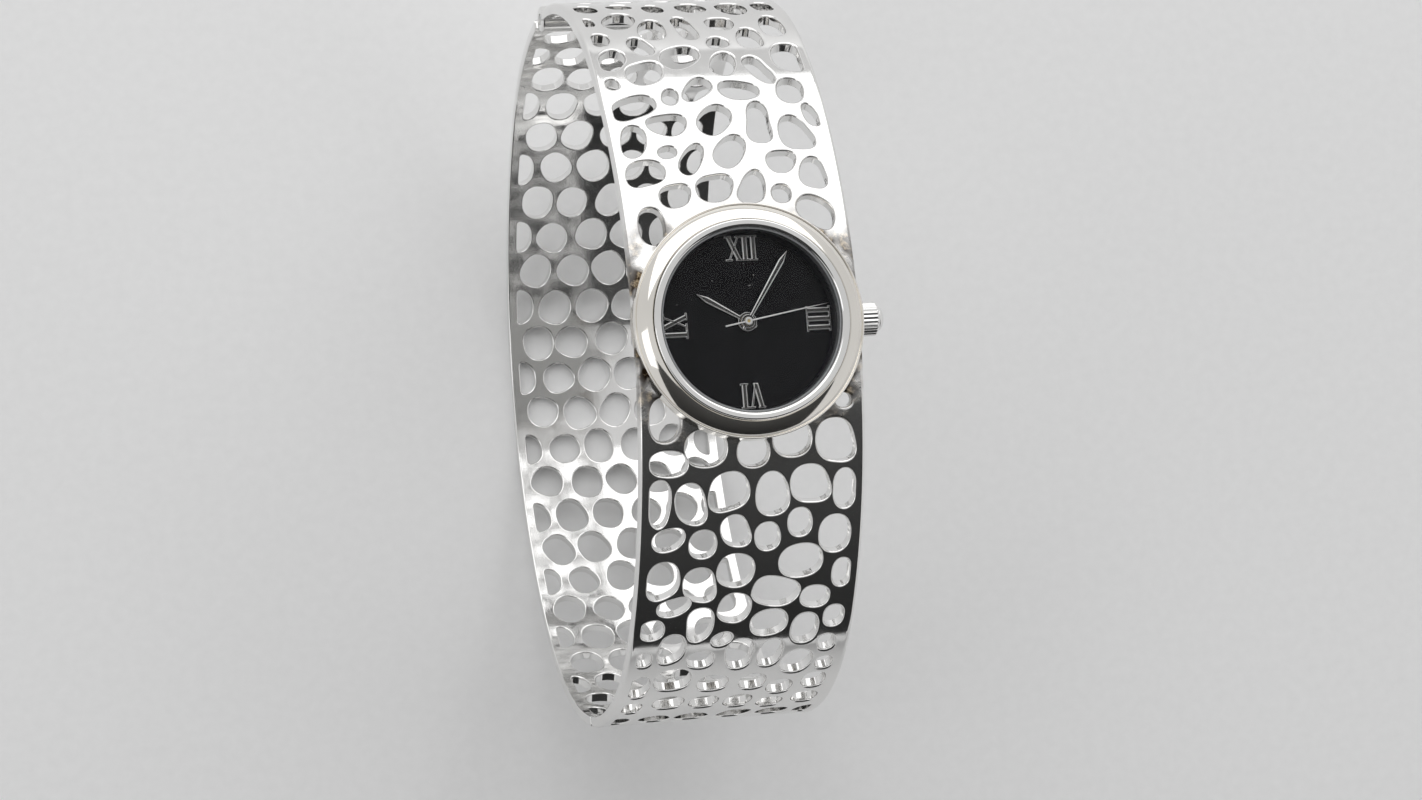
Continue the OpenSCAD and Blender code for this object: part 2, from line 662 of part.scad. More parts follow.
module flange_ring() {
    color(black_gloss)
    rotate_extrude()
        polygon([[flange_bore_r, dial_z + slip / 2], [bore_r - slip, dial_z + slip / 2],
            [bore_r - slip, ledge_z], [flange_bore_r + 0.1, ledge_z]]);
}

module dial() {
    color(black_gloss)
    translate([0, 0, dial_low_z])
        difference() {
            cylinder(r = bore_r - seat_clear, h = dial_t);
            translate([0, 0, -1]) cylinder(r = dial_hole_r, h = dial_t + 2);
        }
}

// Strokes of the Roman numerals, standing on the line y = 0.
thick_w = 0.42;
thin_w = 0.15;
serif_w = 0.26;

module serifs(x, w) {
    for (y = [0, numeral_h - thin_w])
        translate([x - w / 2 - serif_w / 2, y]) square([w + serif_w, thin_w]);
}

module one(x) {
    translate([x - thick_w / 2, 0]) square([thick_w, numeral_h]);
    serifs(x, thick_w);
}

module slant(x0, x1, w) {
    polygon([[x0 - w / 2, 0], [x0 + w / 2, 0], [x1 + w / 2, numeral_h], [x1 - w / 2, numeral_h]]);
}

module ten(x) {
    spread = 0.46;
    slant(x + spread, x - spread, thick_w);
    slant(x - spread, x + spread, thin_w);
    for (y = [0, numeral_h - thin_w], side = [-1, 1])
        translate([x + side * spread - 0.3, y]) square([0.6, thin_w]);
}

module five(x) {
    spread = 0.45;
    slant(x, x - spread, thick_w);
    slant(x, x + spread, thin_w);
    for (side = [-1, 1])
        translate([x + side * spread - 0.3, numeral_h - thin_w]) square([0.6, thin_w]);
}

// Sets a numeral on the dial at an hour, its foot towards the centre.
module on_dial(hour) {
    color(polished)
    translate([0, 0, dial_z + slip / 2])
        rotate([0, 0, -30 * hour])
            translate([0, numeral_r - numeral_h / 2, 0])
                linear_extrude(numeral_t)
                    children();
}

module numeral_twelve() { on_dial(0) union() { ten(-0.68); one(0.3); one(1.05); } }

module numeral_three() { on_dial(3) union() { one(-0.75); one(0); one(0.75); } }

module numeral_six() { on_dial(6) union() { five(-0.3); one(0.72); } }

module numeral_nine() { on_dial(9) union() { one(-0.85); ten(0.25); } }

// Hands: narrow at the hub, widest near the tip, then a point.
hour_hand_z = dial_z + 0.25;
minute_hand_z = dial_z + 0.45;
second_hand_z = dial_z + 0.63;
hour_bore_r = hour_tube_r + pin_press;
minute_bore_r = cannon_r + pin_press;

module hand(angle, z, l, root_w, wide_w, wide_at, tail_l, hub_r, hub_h, bore) {
    translate([0, 0, z])
        rotate([0, 0, -angle])
            difference() {
                union() {
                    linear_extrude(hand_t)
                        polygon([[-root_w / 2, -tail_l], [root_w / 2, -tail_l],
                            [wide_w / 2, wide_at], [0, l], [-wide_w / 2, wide_at]]);
                    cylinder(r = hub_r, h = hub_h);
                }
                translate([0, 0, -1]) cylinder(r = bore, h = hub_h + 2);
            }
}

module hour_hand() {
    color(polished)
    hand(hour_angle, hour_hand_z, hour_l, 0.28, 0.5, hour_l * 0.8, 0.9, 0.82, hand_t, hour_bore_r);
}

module minute_hand() {
    color(polished)
    hand(minute_angle, minute_hand_z, minute_l, 0.26, 0.48, minute_l * 0.86, 0.8, 0.6, hand_t,
        minute_bore_r);
}

module second_hand() {
    color(polished)
    union() {
        hand(second_angle, second_hand_z, second_l, 0.14, 0.1, second_l * 0.7, second_tail_l,
            0.35, 0.18, second_arbor_r + pin_press);
        translate([0, 0, second_hand_z + 0.15]) cylinder(r = 0.3, h = 0.05);
    }
}

module crown() {
    side_x = crown_x + crown_side_l;
    cap_r = crown_r * 0.72;
    step_l = 0.22;
    dome_l = crown_l - crown_side_l - step_l;
    flute_r = 0.1;
    color(polished)
    translate([0, 0, stem_z])
        difference() {
            translate([crown_x, 0, 0])
                rotate([0, 90, 0])
                    rotate_extrude()
                        polygon(concat([[0, 0], [crown_r - 0.1, 0], [crown_r, 0.1],
                            [crown_r, crown_side_l], [cap_r, crown_side_l + step_l]],
                            [for (i = [1 : 6]) [cap_r * cos(15 * i),
                                crown_side_l + step_l + dome_l * sin(15 * i)]]));
            for (i = [0 : flute_count - 1])
                rotate([360 * i / flute_count, 0, 0])
                    translate([0, 0, crown_r])
                        along_x(flute_r, crown_x - 1, side_x + 1);
            along_x(crown_cup_r, crown_x - 1, crown_x + crown_cup_l);
            along_x(stem_r + pin_press, crown_x, crown_x + crown_cup_l + stem_grip_l + seat_clear);
        }
}

module crown_gasket() {
    ring_w = crown_cup_r - tube_r - 2 * slip;
    color("#2a2a2a")
    translate([crown_x + 0.25, 0, stem_z])
        rotate([0, 90, 0])
            rotate_extrude()
                translate([tube_r + slip + ring_w / 2, 0]) circle(d = ring_w);
}

module crown_tube() {
    color(satin)
    translate([0, 0, stem_z])
        difference() {
            along_x(tube_r, bore_r + 0.05, crown_x + crown_cup_l - 0.1);
            along_x(stem_r + hinge_clear, 0, crown_x + 2);
        }
}

module stem() {
    color(satin)
    translate([0, 0, stem_z])
        difference() {
            union() {
                along_x(stem_r, stem_end_x, crown_x + crown_cup_l + stem_grip_l);
                along_x(stem_head_r, stem_end_x, stem_end_x + stem_head_l);
            }
            difference() {
                along_x(1, groove_x, groove_x + groove_w);
                along_x(groove_r, groove_x - 1, groove_x + groove_w + 1);
            }
        }
}

// Pulling the crown swings the lever, whose nose rides in the stem's groove.
module setting_lever() {
    color(satin)
    translate([lever_at[0], lever_at[1], stem_z - lever_t / 2])
        rotate([0, 0, -lever_rest])
            difference() {
                union() {
                    cylinder(r = lever_eye_r, h = lever_t);
                    translate([-lever_half_w, -lever_reach, 0])
                        cube([2 * lever_half_w, lever_reach, lever_t]);
                }
                translate([0, 0, -1]) cylinder(r = lever_post_r + hinge_clear, h = 2);
            }
}

module case_back() {
    lip_r = bore_r - seat_clear;
    plate_edge_r = barrel_r - 0.05;
    bevel = 0.2;
    pry_w = 2.4;
    pry_reach = 0.3;
    pry_h = 0.22;
    color(satin)
    difference() {
        union() {
            rotate_extrude()
                polygon([[0, 0], [plate_edge_r - bevel, 0], [plate_edge_r, bevel],
                    [plate_edge_r, back_t], [0, back_t]]);
            translate([0, 0, back_t - slip])
                difference() {
                    cylinder(r = lip_r, h = back_lip_h + slip);
                    translate([0, 0, -1]) cylinder(r = lip_r - back_lip_t, h = back_lip_h + 2);
                }
        }
        rotate([0, 0, 225])
            translate([plate_edge_r - pry_reach, -pry_w / 2, back_t - pry_h]) cube([1, pry_w, 1]);
    }
}

module back_gasket() {
    color("#2a2a2a")
    translate([0, 0, back_t + slip / 2])
        difference() {
            cylinder(r = barrel_r - 0.3, h = case_low_z - back_t - slip);
            translate([0, 0, -1]) cylinder(r = bore_r + 0.1, h = 2);
        }
}

module plate_outline(grow, z0, z1) {
    intersection() {
        translate([0, 0, z0]) cylinder(r = plate_r + grow, h = z1 - z0);
        translate([-bore_r, -plate_half_y - grow, z0 - 1])
            cube([2 * bore_r, 2 * (plate_half_y + grow), z1 - z0 + 2]);
    }
}

module movement_ring() {
    ring_low_z = back_t + back_lip_h + seat_clear;
    color("#e4e2dc")
    difference() {
        translate([0, 0, ring_low_z]) cylinder(r = ring_r, h = dial_low_z - ring_low_z);
        plate_outline(seat_clear, ring_low_z - 1, plate_top_z + slip);
        translate([0, 0, plate_z]) cylinder(r = plate_r - 1, h = 3);
        translate([0, 0, stem_z]) along_x(tube_r, 0, bore_r);
    }
}

module at(p) { translate([p[0], p[1], 0]) children(); }

module post(r, z0, z1) { translate([0, 0, z0]) cylinder(r = r, h = z1 - z0); }

module main_plate() {
    pivots = [third_at, inter_at, rotor_at];
    color(brassy)
    difference() {
        union() {
            plate_outline(0, plate_z, plate_top_z);
            for (p = pillars) at(p) post(pillar_r, bridge_z + bridge_t, plate_z + slip);
            for (p = [minute_at, setting_at]) at(p) post(stud_r, plate_z, dial_low_z - 0.05);
            for (p = stator_posts) at(p) post(stator_post_r, stator_z + stator_t, plate_z + slip);
            at(lever_at) post(lever_post_r, stem_z - lever_t, plate_z + slip);
        }
        at(centre_at) post(cannon_r + cannon_clear, 0, dial_z);
        for (p = pivots) at(p) post(pivot_r + pivot_clear, 0, dial_z);
        for (p = pillars) at(p) post(screw_r + pin_press, 0, plate_z);
        at(battery_at) post(battery_r + seat_clear, 0, plate_z + 0.4);
    }
}

module train_bridge() {
    color(brassy)
    difference() {
        union() {
            translate([0, 0, bridge_z])
                linear_extrude(bridge_t)
                    polygon([[4.1, 1.4], [4.1, 0.3], [1, -3.2], [-0.3, -3.2], [-2.5, 0.6],
                        [-2.4, 1.8], [0.4, 4], [2.6, 4]]);
            for (i = [0, 1]) at(pillars[i]) post(0.5, bridge_z - clamp_room, bridge_z + slip);
        }
        for (p = [centre_at, third_at, inter_at, rotor_at])
            at(p) post(pivot_clear + (p == centre_at ? second_arbor_r : pivot_r), 0, dial_z);
        for (p = pillars) at(p) post(screw_r + slip, 0, dial_z);
        at(battery_at) post(battery_r + battery_room, 0, dial_z);
    }
}

module circuit_board() {
    color("#2f6b46")
    difference() {
        translate([0, 0, board_z])
            linear_extrude(board_t)
                polygon([[-6.7, 0.5], [-2.6, 0.5], [-2.6, 2.2], [-1.6, 2.7], [-1.6, 3.9],
                    [-4.2, 3.9], [-4.2, 5.4], [-5.2, 5.1], [-6.7, 2.4]]);
        at(battery_at) post(battery_r + battery_room, 0, dial_z);
    }
}

module control_chip() {
    color("#151515")
    translate([-5.5, 2.3, board_z + board_t + slip]) cube([1.6, 1.3, 0.4]);
}

module quartz_can() {
    color(satin)
    translate([0, 1.4, 1.57]) along_x(can_r, -2.7 - can_l, -2.7);
}

module coil_winding() {
    color("#b5651d")
    difference() {
        translate([0, coil_y, coil_z]) along_x(coil_r, -coil_l / 2, coil_l / 2);
        translate([-coil_l, coil_y - core_w / 2 - slip, coil_z - core_t / 2 - slip])
            cube([2 * coil_l, core_w + 2 * slip, core_t + 2 * slip]);
    }
}

module coil_core() {
    color(satin)
    translate([-core_l / 2, coil_y - core_w / 2, coil_z - core_t / 2])
        cube([core_l, core_w, core_t]);
}

module stator() {
    out_x = core_l / 2;
    in_x = out_x - stator_arm_w;
    bar_y = stator_low_y + stator_bar_w;
    arm_y = coil_y + core_w / 2 - 0.05;
    color(satin)
    translate([0, 0, stator_z])
        difference() {
            linear_extrude(stator_t)
                polygon([[-out_x, stator_low_y], [out_x, stator_low_y], [out_x, arm_y],
                    [in_x, arm_y], [in_x, bar_y], [-in_x, bar_y], [-in_x, arm_y],
                    [-out_x, arm_y]]);
            at(rotor_at) post(rotor_room_r, -1, 2);
        }
}

// A toothed wheel whose first tooth points along turn; thin teeth leave backlash all round.
module toothed(teeth, m, turn, z, t) {
    r = teeth * m / 2;
    pitch = 360 / teeth;
    translate([0, 0, z])
        linear_extrude(t)
            polygon([for (i = [0 : teeth - 1], e = [[-0.2, -1.1], [-0.09, 0.7], [0.09, 0.7],
                [0.2, -1.1]]) let (a = turn + pitch * (i + e[0]), q = r + e[1] * m)
                [q * cos(a), q * sin(a)]]);
}

// The turn that lets a second wheel's gap face the first wheel's tooth along the line dir.
function mesh_turn(dir, teeth_a, turn_a, teeth_b) =
    dir + 180 - (0.5 - (dir - turn_a) * teeth_a / 360) * 360 / teeth_b;

function direction(from, to) = atan2(to[1] - from[1], to[0] - from[0]);

module rotor() {
    color(satin)
    at(rotor_at) {
        post(pivot_r, pivot_low_z, pivot_top_z);
        post(rotor_r, 1.8, 2.5);
        toothed(leaves, rotor_m, 0, inter_z - leaf_lead, leaf_t);
    }
}

module intermediate_wheel() {
    color(brassy)
    at(inter_at) {
        post(pivot_r, pivot_low_z, pivot_top_z);
        toothed(inter_teeth, rotor_m,
            mesh_turn(direction(rotor_at, inter_at), leaves, 0, inter_teeth), inter_z, wheel_t);
        toothed(leaves, second_m, 0, second_z - leaf_lead, leaf_t);
    }
}

module second_wheel() {
    color(brassy)
    at(centre_at) {
        post(second_arbor_r, pivot_low_z, second_hand_z + 0.15);
        toothed(second_teeth, second_m,
            mesh_turn(direction(inter_at, centre_at), leaves, 0, second_teeth), second_z, wheel_t);
        toothed(leaves, third_m, 0, third_z - leaf_lead, leaf_t);
    }
}

module third_wheel() {
    color(brassy)
    at(third_at) {
        post(pivot_r, pivot_low_z, pivot_top_z);
        toothed(third_teeth, third_m,
            mesh_turn(direction(centre_at, third_at), leaves, 0, third_teeth), third_z, wheel_t);
        toothed(leaves, centre_m, 0, centre_z - leaf_lead, leaf_t);
    }
}

// The centre wheel's tube carries the cannon teeth and the minute hand.
module centre_wheel() {
    color(brassy)
    difference() {
        union() {
            post(cannon_r, centre_z, minute_hand_z + hand_t);
            toothed(centre_teeth, centre_m,
                mesh_turn(direction(third_at, centre_at), leaves, 0, centre_teeth), centre_z, wheel_t);
            toothed(cannon_teeth, cannon_m, minute_dir, plate_top_z + slip, 0.2);
        }
        post(second_arbor_r + second_arbor_clear, 0, 2 * dial_z);
    }
}

minute_turn = mesh_turn(minute_dir, cannon_teeth, minute_dir, minute_teeth);

module minute_wheel() {
    color(brassy)
    at(minute_at)
        difference() {
            union() {
                toothed(minute_teeth, cannon_m, minute_turn, plate_top_z + 0.05, wheel_t);
                toothed(minute_leaves, hour_m, minute_dir + 180, plate_top_z + 0.2, 0.22);
            }
            post(stud_r + pivot_clear, 0, dial_z);
        }
}

module hour_wheel() {
    color(brassy)
    difference() {
        union() {
            post(hour_tube_r, plate_top_z + 0.25, hour_hand_z + hand_t);
            toothed(hour_teeth, hour_m,
                mesh_turn(minute_dir + 180, minute_leaves, minute_dir + 180, hour_teeth),
                plate_top_z + 0.27, 0.12);
        }
        post(cannon_r + cannon_clear, 0, 2 * dial_z);
    }
}

module setting_wheel() {
    color(brassy)
    at(setting_at)
        difference() {
            toothed(setting_teeth, cannon_m,
                mesh_turn(setting_dir, minute_teeth, minute_turn, setting_teeth),
                plate_top_z + 0.05, wheel_t);
            post(stud_r + pivot_clear, 0, dial_z);
        }
}

module battery() {
    color("#c9c9c9")
    at(battery_at) {
        post(battery_r, battery_z, battery_z + battery_h - battery_step_h);
        post(battery_r - battery_step_w, battery_z, battery_z + battery_h);
    }
}

module battery_clamp() {
    color(satin)
    difference() {
        translate([battery_at[0] - 0.6, battery_at[1] - 0.6, bridge_z - clamp_room])
            cube([pillars[2][0] - battery_at[0] + 1.1, 1.2, clamp_t]);
        at(pillars[2]) post(screw_r + slip, 0, dial_z);
    }
}

module battery_contact() {
    color(satin)
    translate([battery_at[0] - 0.5, battery_at[1] - 1.8, battery_z + battery_h + slip])
        cube([1, 3.6, 0.08]);
}

module movement_screws() {
    head_z = bridge_z - clamp_room - slip / 2;
    color(satin)
    for (p = pillars)
        at(p)
            difference() {
                union() {
                    post(screw_head_r, head_z - screw_head_h, head_z);
                    post(screw_r, head_z - slip, plate_z - screw_end_room);
                }
                translate([-2 * screw_head_r, -screw_slot_w / 2, head_z - screw_head_h - 1])
                    cube([4 * screw_head_r, screw_slot_w, 1 + screw_slot_h]);
            }
}

front_band();
back_band();
hinge_pin();
clasp_box();
clasp_tongue();
case_body();
bezel_ring();
crystal();
crystal_gasket();
flange_ring();
dial();
numeral_twelve();
numeral_three();
numeral_six();
numeral_nine();
hour_hand();
minute_hand();
second_hand();
crown();
crown_gasket();
crown_tube();
stem();
setting_lever();
case_back();
back_gasket();
movement_ring();
main_plate();
train_bridge();
circuit_board();
control_chip();
quartz_can();
coil_winding();
coil_core();
stator();
rotor();
intermediate_wheel();
second_wheel();
third_wheel();
centre_wheel();
minute_wheel();
hour_wheel();
setting_wheel();
battery();
battery_clamp();
battery_contact();
movement_screws();
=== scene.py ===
import bpy
import bmesh
import json
import math
import numpy as np
from mathutils import Matrix, Vector
from mathutils.geometry import delaunay_2d_cdt


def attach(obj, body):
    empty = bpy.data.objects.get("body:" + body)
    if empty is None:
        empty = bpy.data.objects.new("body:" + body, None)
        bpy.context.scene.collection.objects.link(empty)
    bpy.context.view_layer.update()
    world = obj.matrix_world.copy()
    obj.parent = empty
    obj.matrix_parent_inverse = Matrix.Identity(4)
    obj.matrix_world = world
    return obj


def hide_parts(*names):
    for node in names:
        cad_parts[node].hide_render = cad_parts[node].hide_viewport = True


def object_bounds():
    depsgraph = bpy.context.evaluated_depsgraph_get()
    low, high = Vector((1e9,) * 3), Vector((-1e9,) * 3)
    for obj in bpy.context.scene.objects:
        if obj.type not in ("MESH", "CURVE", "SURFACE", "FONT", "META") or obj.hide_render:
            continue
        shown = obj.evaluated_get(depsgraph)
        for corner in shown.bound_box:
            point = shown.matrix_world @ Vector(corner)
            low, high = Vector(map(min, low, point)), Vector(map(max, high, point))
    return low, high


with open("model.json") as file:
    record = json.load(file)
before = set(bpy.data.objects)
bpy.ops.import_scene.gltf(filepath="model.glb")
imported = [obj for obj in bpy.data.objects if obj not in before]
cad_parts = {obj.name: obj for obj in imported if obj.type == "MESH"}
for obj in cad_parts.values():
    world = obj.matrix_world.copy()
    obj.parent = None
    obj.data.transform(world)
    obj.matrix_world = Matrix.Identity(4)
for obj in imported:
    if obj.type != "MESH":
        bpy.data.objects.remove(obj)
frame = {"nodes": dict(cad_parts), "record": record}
cadBox = [list(corner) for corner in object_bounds()]
nodes = frame["nodes"]
scene = bpy.context.scene
scene.view_settings.view_transform = "Standard"
mm = 0.001
print("frame loaded:", len(nodes), "nodes")


# Node helpers

def newMaterial(name):
    mat = bpy.data.materials.new(name)
    mat.use_nodes = True
    n, links = mat.node_tree.nodes, mat.node_tree.links
    coords = n.new("ShaderNodeTexCoord").outputs["Object"]
    return mat, n, links, n["Principled BSDF"], coords


def feed(links, node, values):  # sockets are linked and numbers are set
    for name, value in values.items():
        if isinstance(value, bpy.types.NodeSocket):
            links.new(value, node.inputs[name])
        else:
            node.inputs[name].default_value = value


def noiseNode(n, links, coords, scale, detail, roughness, stretch=(1, 1, 1)):
    mapping, noise = n.new("ShaderNodeMapping"), n.new("ShaderNodeTexNoise")
    feed(links, mapping, {"Vector": coords, "Scale": stretch})
    feed(links, noise, {"Vector": mapping.outputs["Vector"], "Scale": scale, "Detail": detail,
                        "Roughness": roughness})
    return noise.outputs["Fac"]


def rangeNode(n, links, source, low, high, fromLow=0.3, fromHigh=0.7):
    node = n.new("ShaderNodeMapRange")
    feed(links, node, {"Value": source, "From Min": fromLow, "From Max": fromHigh, "To Min": low,
                       "To Max": high})
    return node.outputs["Result"]


def rampNode(n, links, source, stops):
    ramp = n.new("ShaderNodeValToRGB")
    elements = ramp.color_ramp.elements
    while len(elements) < len(stops):
        elements.new(0.5)
    for element, (at, colour) in zip(elements, stops):
        element.position = at
        element.color = (*colour, 1)
    links.new(source, ramp.inputs["Fac"])
    return ramp.outputs["Color"]


def bumpNode(n, links, height, strength, distance, under=None):
    bump = n.new("ShaderNodeBump")
    feed(links, bump, {"Height": height, "Strength": strength, "Distance": distance})
    if under:
        links.new(under, bump.inputs["Normal"])
    return bump.outputs["Normal"]


# Finishes

steel = {"colour": (0.86, 0.855, 0.845), "warm": (0.9, 0.86, 0.79), "dull": 0.93, "haze": 900,
         "tint": 160, "scratches": 2600, "along": (1, 0.06, 0.4), "crossed": 2200,
         "across": (0.05, 1, 1), "scratchDepth": 0.00001}


def polishedSteel(name, rough=(0.05, 0.13), scratchBump=0.12, warmth=0.0, shade=1.0, metallic=1.0):
    mat, n, links, shader, coords = newMaterial(name)
    haze = noiseNode(n, links, coords, steel["haze"], 4.0, 0.6)
    scratches = noiseNode(n, links, coords, steel["scratches"], 2.0, 0.5, steel["along"])
    crossed = noiseNode(n, links, coords, steel["crossed"], 2.0, 0.5, steel["across"])
    tint = noiseNode(n, links, coords, steel["tint"], 2.0, 0.5)
    colour = tuple(shade * (a + warmth * (b - a)) for a, b in zip(steel["colour"], steel["warm"]))
    dull = tuple(steel["dull"] * c for c in colour)
    first = bumpNode(n, links, scratches, scratchBump, steel["scratchDepth"])
    feed(links, shader, {
        "Base Color": rampNode(n, links, tint, [(0.35, dull), (0.6, colour)]),
        "Roughness": rangeNode(n, links, haze, *rough), "Metallic": metallic,
        "Normal": bumpNode(n, links, crossed, scratchBump, steel["scratchDepth"], first)})
    return mat


# Where the case is soldered to the band, in metres from the head's middle
solder = {"inner": 0.0103, "outer": 0.0134, "middle": 0.0045, "side": 0.0075, "below": -0.002,
          "patches": 330, "grain": 1500, "bump": 0.0001, "rough": 0.45,
          "brown": (0.03, 0.018, 0.01), "pale": (0.62, 0.5, 0.34)}


def solderStain(mat):  # brown flux stain and rough specks on the band beside the case
    n, links = mat.node_tree.nodes, mat.node_tree.links
    shader = n["Principled BSDF"]
    coords = n.new("ShaderNodeTexCoord").outputs["Object"]
    flat = n.new("ShaderNodeVectorMath")
    flat.operation = "MULTIPLY"
    flat.inputs[1].default_value = (1, 1, 0)
    links.new(coords, flat.inputs[0])
    reach = n.new("ShaderNodeVectorMath")
    reach.operation = "LENGTH"
    links.new(flat.outputs["Vector"], reach.inputs[0])
    axes = n.new("ShaderNodeSeparateXYZ")
    links.new(coords, axes.inputs[0])
    across = n.new("ShaderNodeMath")
    across.operation = "ABSOLUTE"
    links.new(axes.outputs["X"], across.inputs[0])
    grain = noiseNode(n, links, coords, solder["grain"], 5.0, 0.7)
    patches = noiseNode(n, links, coords, solder["patches"], 2.0, 0.5)
    amount = rangeNode(n, links, reach.outputs["Value"], 1.0, 0.0, solder["inner"], solder["outer"])
    blotch = rangeNode(n, links, patches, 0.0, 1.0, 0.38, 0.52)
    front = rangeNode(n, links, axes.outputs["Z"], 0.0, 1.0, solder["below"], 0.0)
    corner = rangeNode(n, links, across.outputs["Value"], 0.3, 1.0, solder["middle"], solder["side"])
    for factor in (blotch, front, corner):
        times = n.new("ShaderNodeMath")
        times.operation = "MULTIPLY"
        links.new(amount, times.inputs[0])
        links.new(factor, times.inputs[1])
        amount = times.outputs["Value"]
    tone = rampNode(n, links, grain, [(0.5, solder["brown"]), (0.68, solder["pale"])])
    stain = n.new("ShaderNodeMix")
    stain.data_type = "RGBA"
    links.new(amount, stain.inputs["Factor"])
    links.new(shader.inputs["Base Color"].links[0].from_socket, stain.inputs[6])
    links.new(tone, stain.inputs[7])
    links.new(stain.outputs[2], shader.inputs["Base Color"])
    dulled = n.new("ShaderNodeMix")
    links.new(amount, dulled.inputs["Factor"])
    links.new(shader.inputs["Roughness"].links[0].from_socket, dulled.inputs[2])
    dulled.inputs[3].default_value = solder["rough"]
    links.new(dulled.outputs[0], shader.inputs["Roughness"])
    scratched = shader.inputs["Normal"].links[0].from_socket
    links.new(bumpNode(n, links, grain, amount, solder["bump"], scratched), shader.inputs["Normal"])
    return mat


satin = {"grain": 5200, "patch": 500, "dull": 0.82, "rough": (0.24, 0.42), "bump": 0.35,
         "depth": 0.00002}


def satinSteel(name, colour=(0.62, 0.62, 0.61), stretch=(1, 0.04, 1)):
    mat, n, links, shader, coords = newMaterial(name)
    grain = noiseNode(n, links, coords, satin["grain"], 3.0, 0.6, stretch)
    patch = noiseNode(n, links, coords, satin["patch"], 3.0, 0.5)
    dull = tuple(satin["dull"] * c for c in colour)
    feed(links, shader, {
        "Base Color": rampNode(n, links, patch, [(0.35, dull), (0.65, colour)]),
        "Roughness": rangeNode(n, links, grain, *satin["rough"]), "Metallic": 1.0,
        "Normal": bumpNode(n, links, grain, satin["bump"], satin["depth"])})
    return mat


lacquer = {"depth": 700, "deep": (0.004, 0.004, 0.005), "shallow": (0.009, 0.009, 0.011),
           "dust": 2400, "speck": (0.2, 0.2, 0.2, 1), "rough": (0.05, 0.08), "specular": 0.12}


def blackLacquer(name):
    mat, n, links, shader, coords = newMaterial(name)
    depth = noiseNode(n, links, coords, lacquer["depth"], 3.0, 0.5)
    dust = noiseNode(n, links, coords, lacquer["dust"], 1.0, 0.5)
    fleck = rampNode(n, links, dust, [(0.0, (0, 0, 0)), (0.78, (0, 0, 0)), (0.82, (1, 1, 1))])
    base = rampNode(n, links, depth, [(0.3, lacquer["deep"]), (0.7, lacquer["shallow"])])
    mix = n.new("ShaderNodeMix")
    mix.data_type = "RGBA"
    feed(links, mix, {"Factor": fleck, "A": base, "B": lacquer["speck"]})
    feed(links, shader, {
        "Base Color": mix.outputs["Result"], "Roughness": rangeNode(n, links, depth, *lacquer["rough"]),
        "Specular IOR Level": lacquer["specular"]})
    return mat


glass = {"colour": (0.02, 0.022, 0.024, 1), "smear": 260, "rough": (0.02, 0.07), "blend": 0.35,
         "alpha": (0.05, 0.55), "specular": 0.8}


def clearGlass(name):  # thin and clear head on, glossier at a slant
    mat, n, links, shader, coords = newMaterial(name)
    smear = noiseNode(n, links, coords, glass["smear"], 4.0, 0.6)
    slant = n.new("ShaderNodeLayerWeight")
    feed(links, slant, {"Blend": glass["blend"]})
    feed(links, shader, {
        "Base Color": glass["colour"], "Roughness": rangeNode(n, links, smear, *glass["rough"]),
        "Alpha": rangeNode(n, links, slant.outputs["Facing"], *glass["alpha"], 0.0, 1.0),
        "Specular IOR Level": glass["specular"]})
    return mat


def moulded(name, colour, rough=(0.35, 0.55), grainSize=3000, bump=0.3):
    mat, n, links, shader, coords = newMaterial(name)
    grain = noiseNode(n, links, coords, grainSize, 4.0, 0.6)
    dull = tuple(0.8 * c for c in colour)
    feed(links, shader, {
        "Base Color": rampNode(n, links, grain, [(0.35, dull), (0.65, colour)]),
        "Roughness": rangeNode(n, links, grain, *rough),
        "Normal": bumpNode(n, links, grain, bump, 0.00002)})
    return mat


# the wire's colour is its own copper; the darker colour between the turns is painted shade
wire = {"turns": 3200, "groove": (0.28, 0.1, 0.04), "copper": (0.72, 0.36, 0.17), "bump": 0.8,
        "depth": 0.00003, "metallic": 0.85, "rough": 0.3}


def woundCopper(name):
    mat, n, links, shader, coords = newMaterial(name)
    turns = n.new("ShaderNodeTexWave")
    turns.bands_direction = "X"
    feed(links, turns, {"Vector": coords, "Scale": wire["turns"]})
    wave = turns.outputs["Fac"]
    feed(links, shader, {
        # painted shade between the turns, copper on the turns
        "Base Color": rampNode(n, links, wave, [(0.1, wire["groove"]), (0.6, wire["copper"])]),
        "Roughness": wire["rough"], "Metallic": wire["metallic"],
        "Normal": bumpNode(n, links, wave, wire["bump"], wire["depth"])})
    return mat


finishes = {
    "bandSteel": solderStain(polishedSteel("bandSteel")),
    "caseSteel": polishedSteel("caseSteel", (0.04, 0.1), 0.08, 0.7),
    "ringSteel": polishedSteel("ringSteel", (0.03, 0.08), 0.05),
    # hand steel painted a tenth brighter as painted highlight on the bevelled edges; flat tops painted
    # nearly black as painted reflection of dark surroundings
    "handSteelPaintedBright": polishedSteel("handSteelPaintedBright", (0.26, 0.36), 0.03, 0.0, 1.1, 0.45),
    "paintedReflectionFace": polishedSteel("paintedReflectionFace", (0.12, 0.2), 0.03, 0.0, 0.1),
    "crownSteel": polishedSteel("crownSteel", (0.08, 0.16), 0.1),
    "satin": satinSteel("satinSteel"),
    "gilt": satinSteel("giltBrass", (0.78, 0.6, 0.28), (0.05, 1, 1)),
    "lacquer": blackLacquer("blackLacquer"),
    "flangeGrey": moulded("flangeGrey", (0.035, 0.035, 0.038), (0.25, 0.35), 2000, 0.05),
    "glass": clearGlass("crystalGlass"),
    "gasket": moulded("greyGasket", (0.36, 0.37, 0.38), (0.4, 0.55)),
    "rubber": moulded("blackRubber", (0.02, 0.02, 0.02), (0.55, 0.75)),
    "holder": moulded("holderPlastic", (0.8, 0.79, 0.75)),
    "board": moulded("boardGreen", (0.05, 0.22, 0.1), (0.25, 0.4)),
    "resin": moulded("chipResin", (0.02, 0.02, 0.022), (0.45, 0.6)),
    "copper": woundCopper("coilCopper"),
}
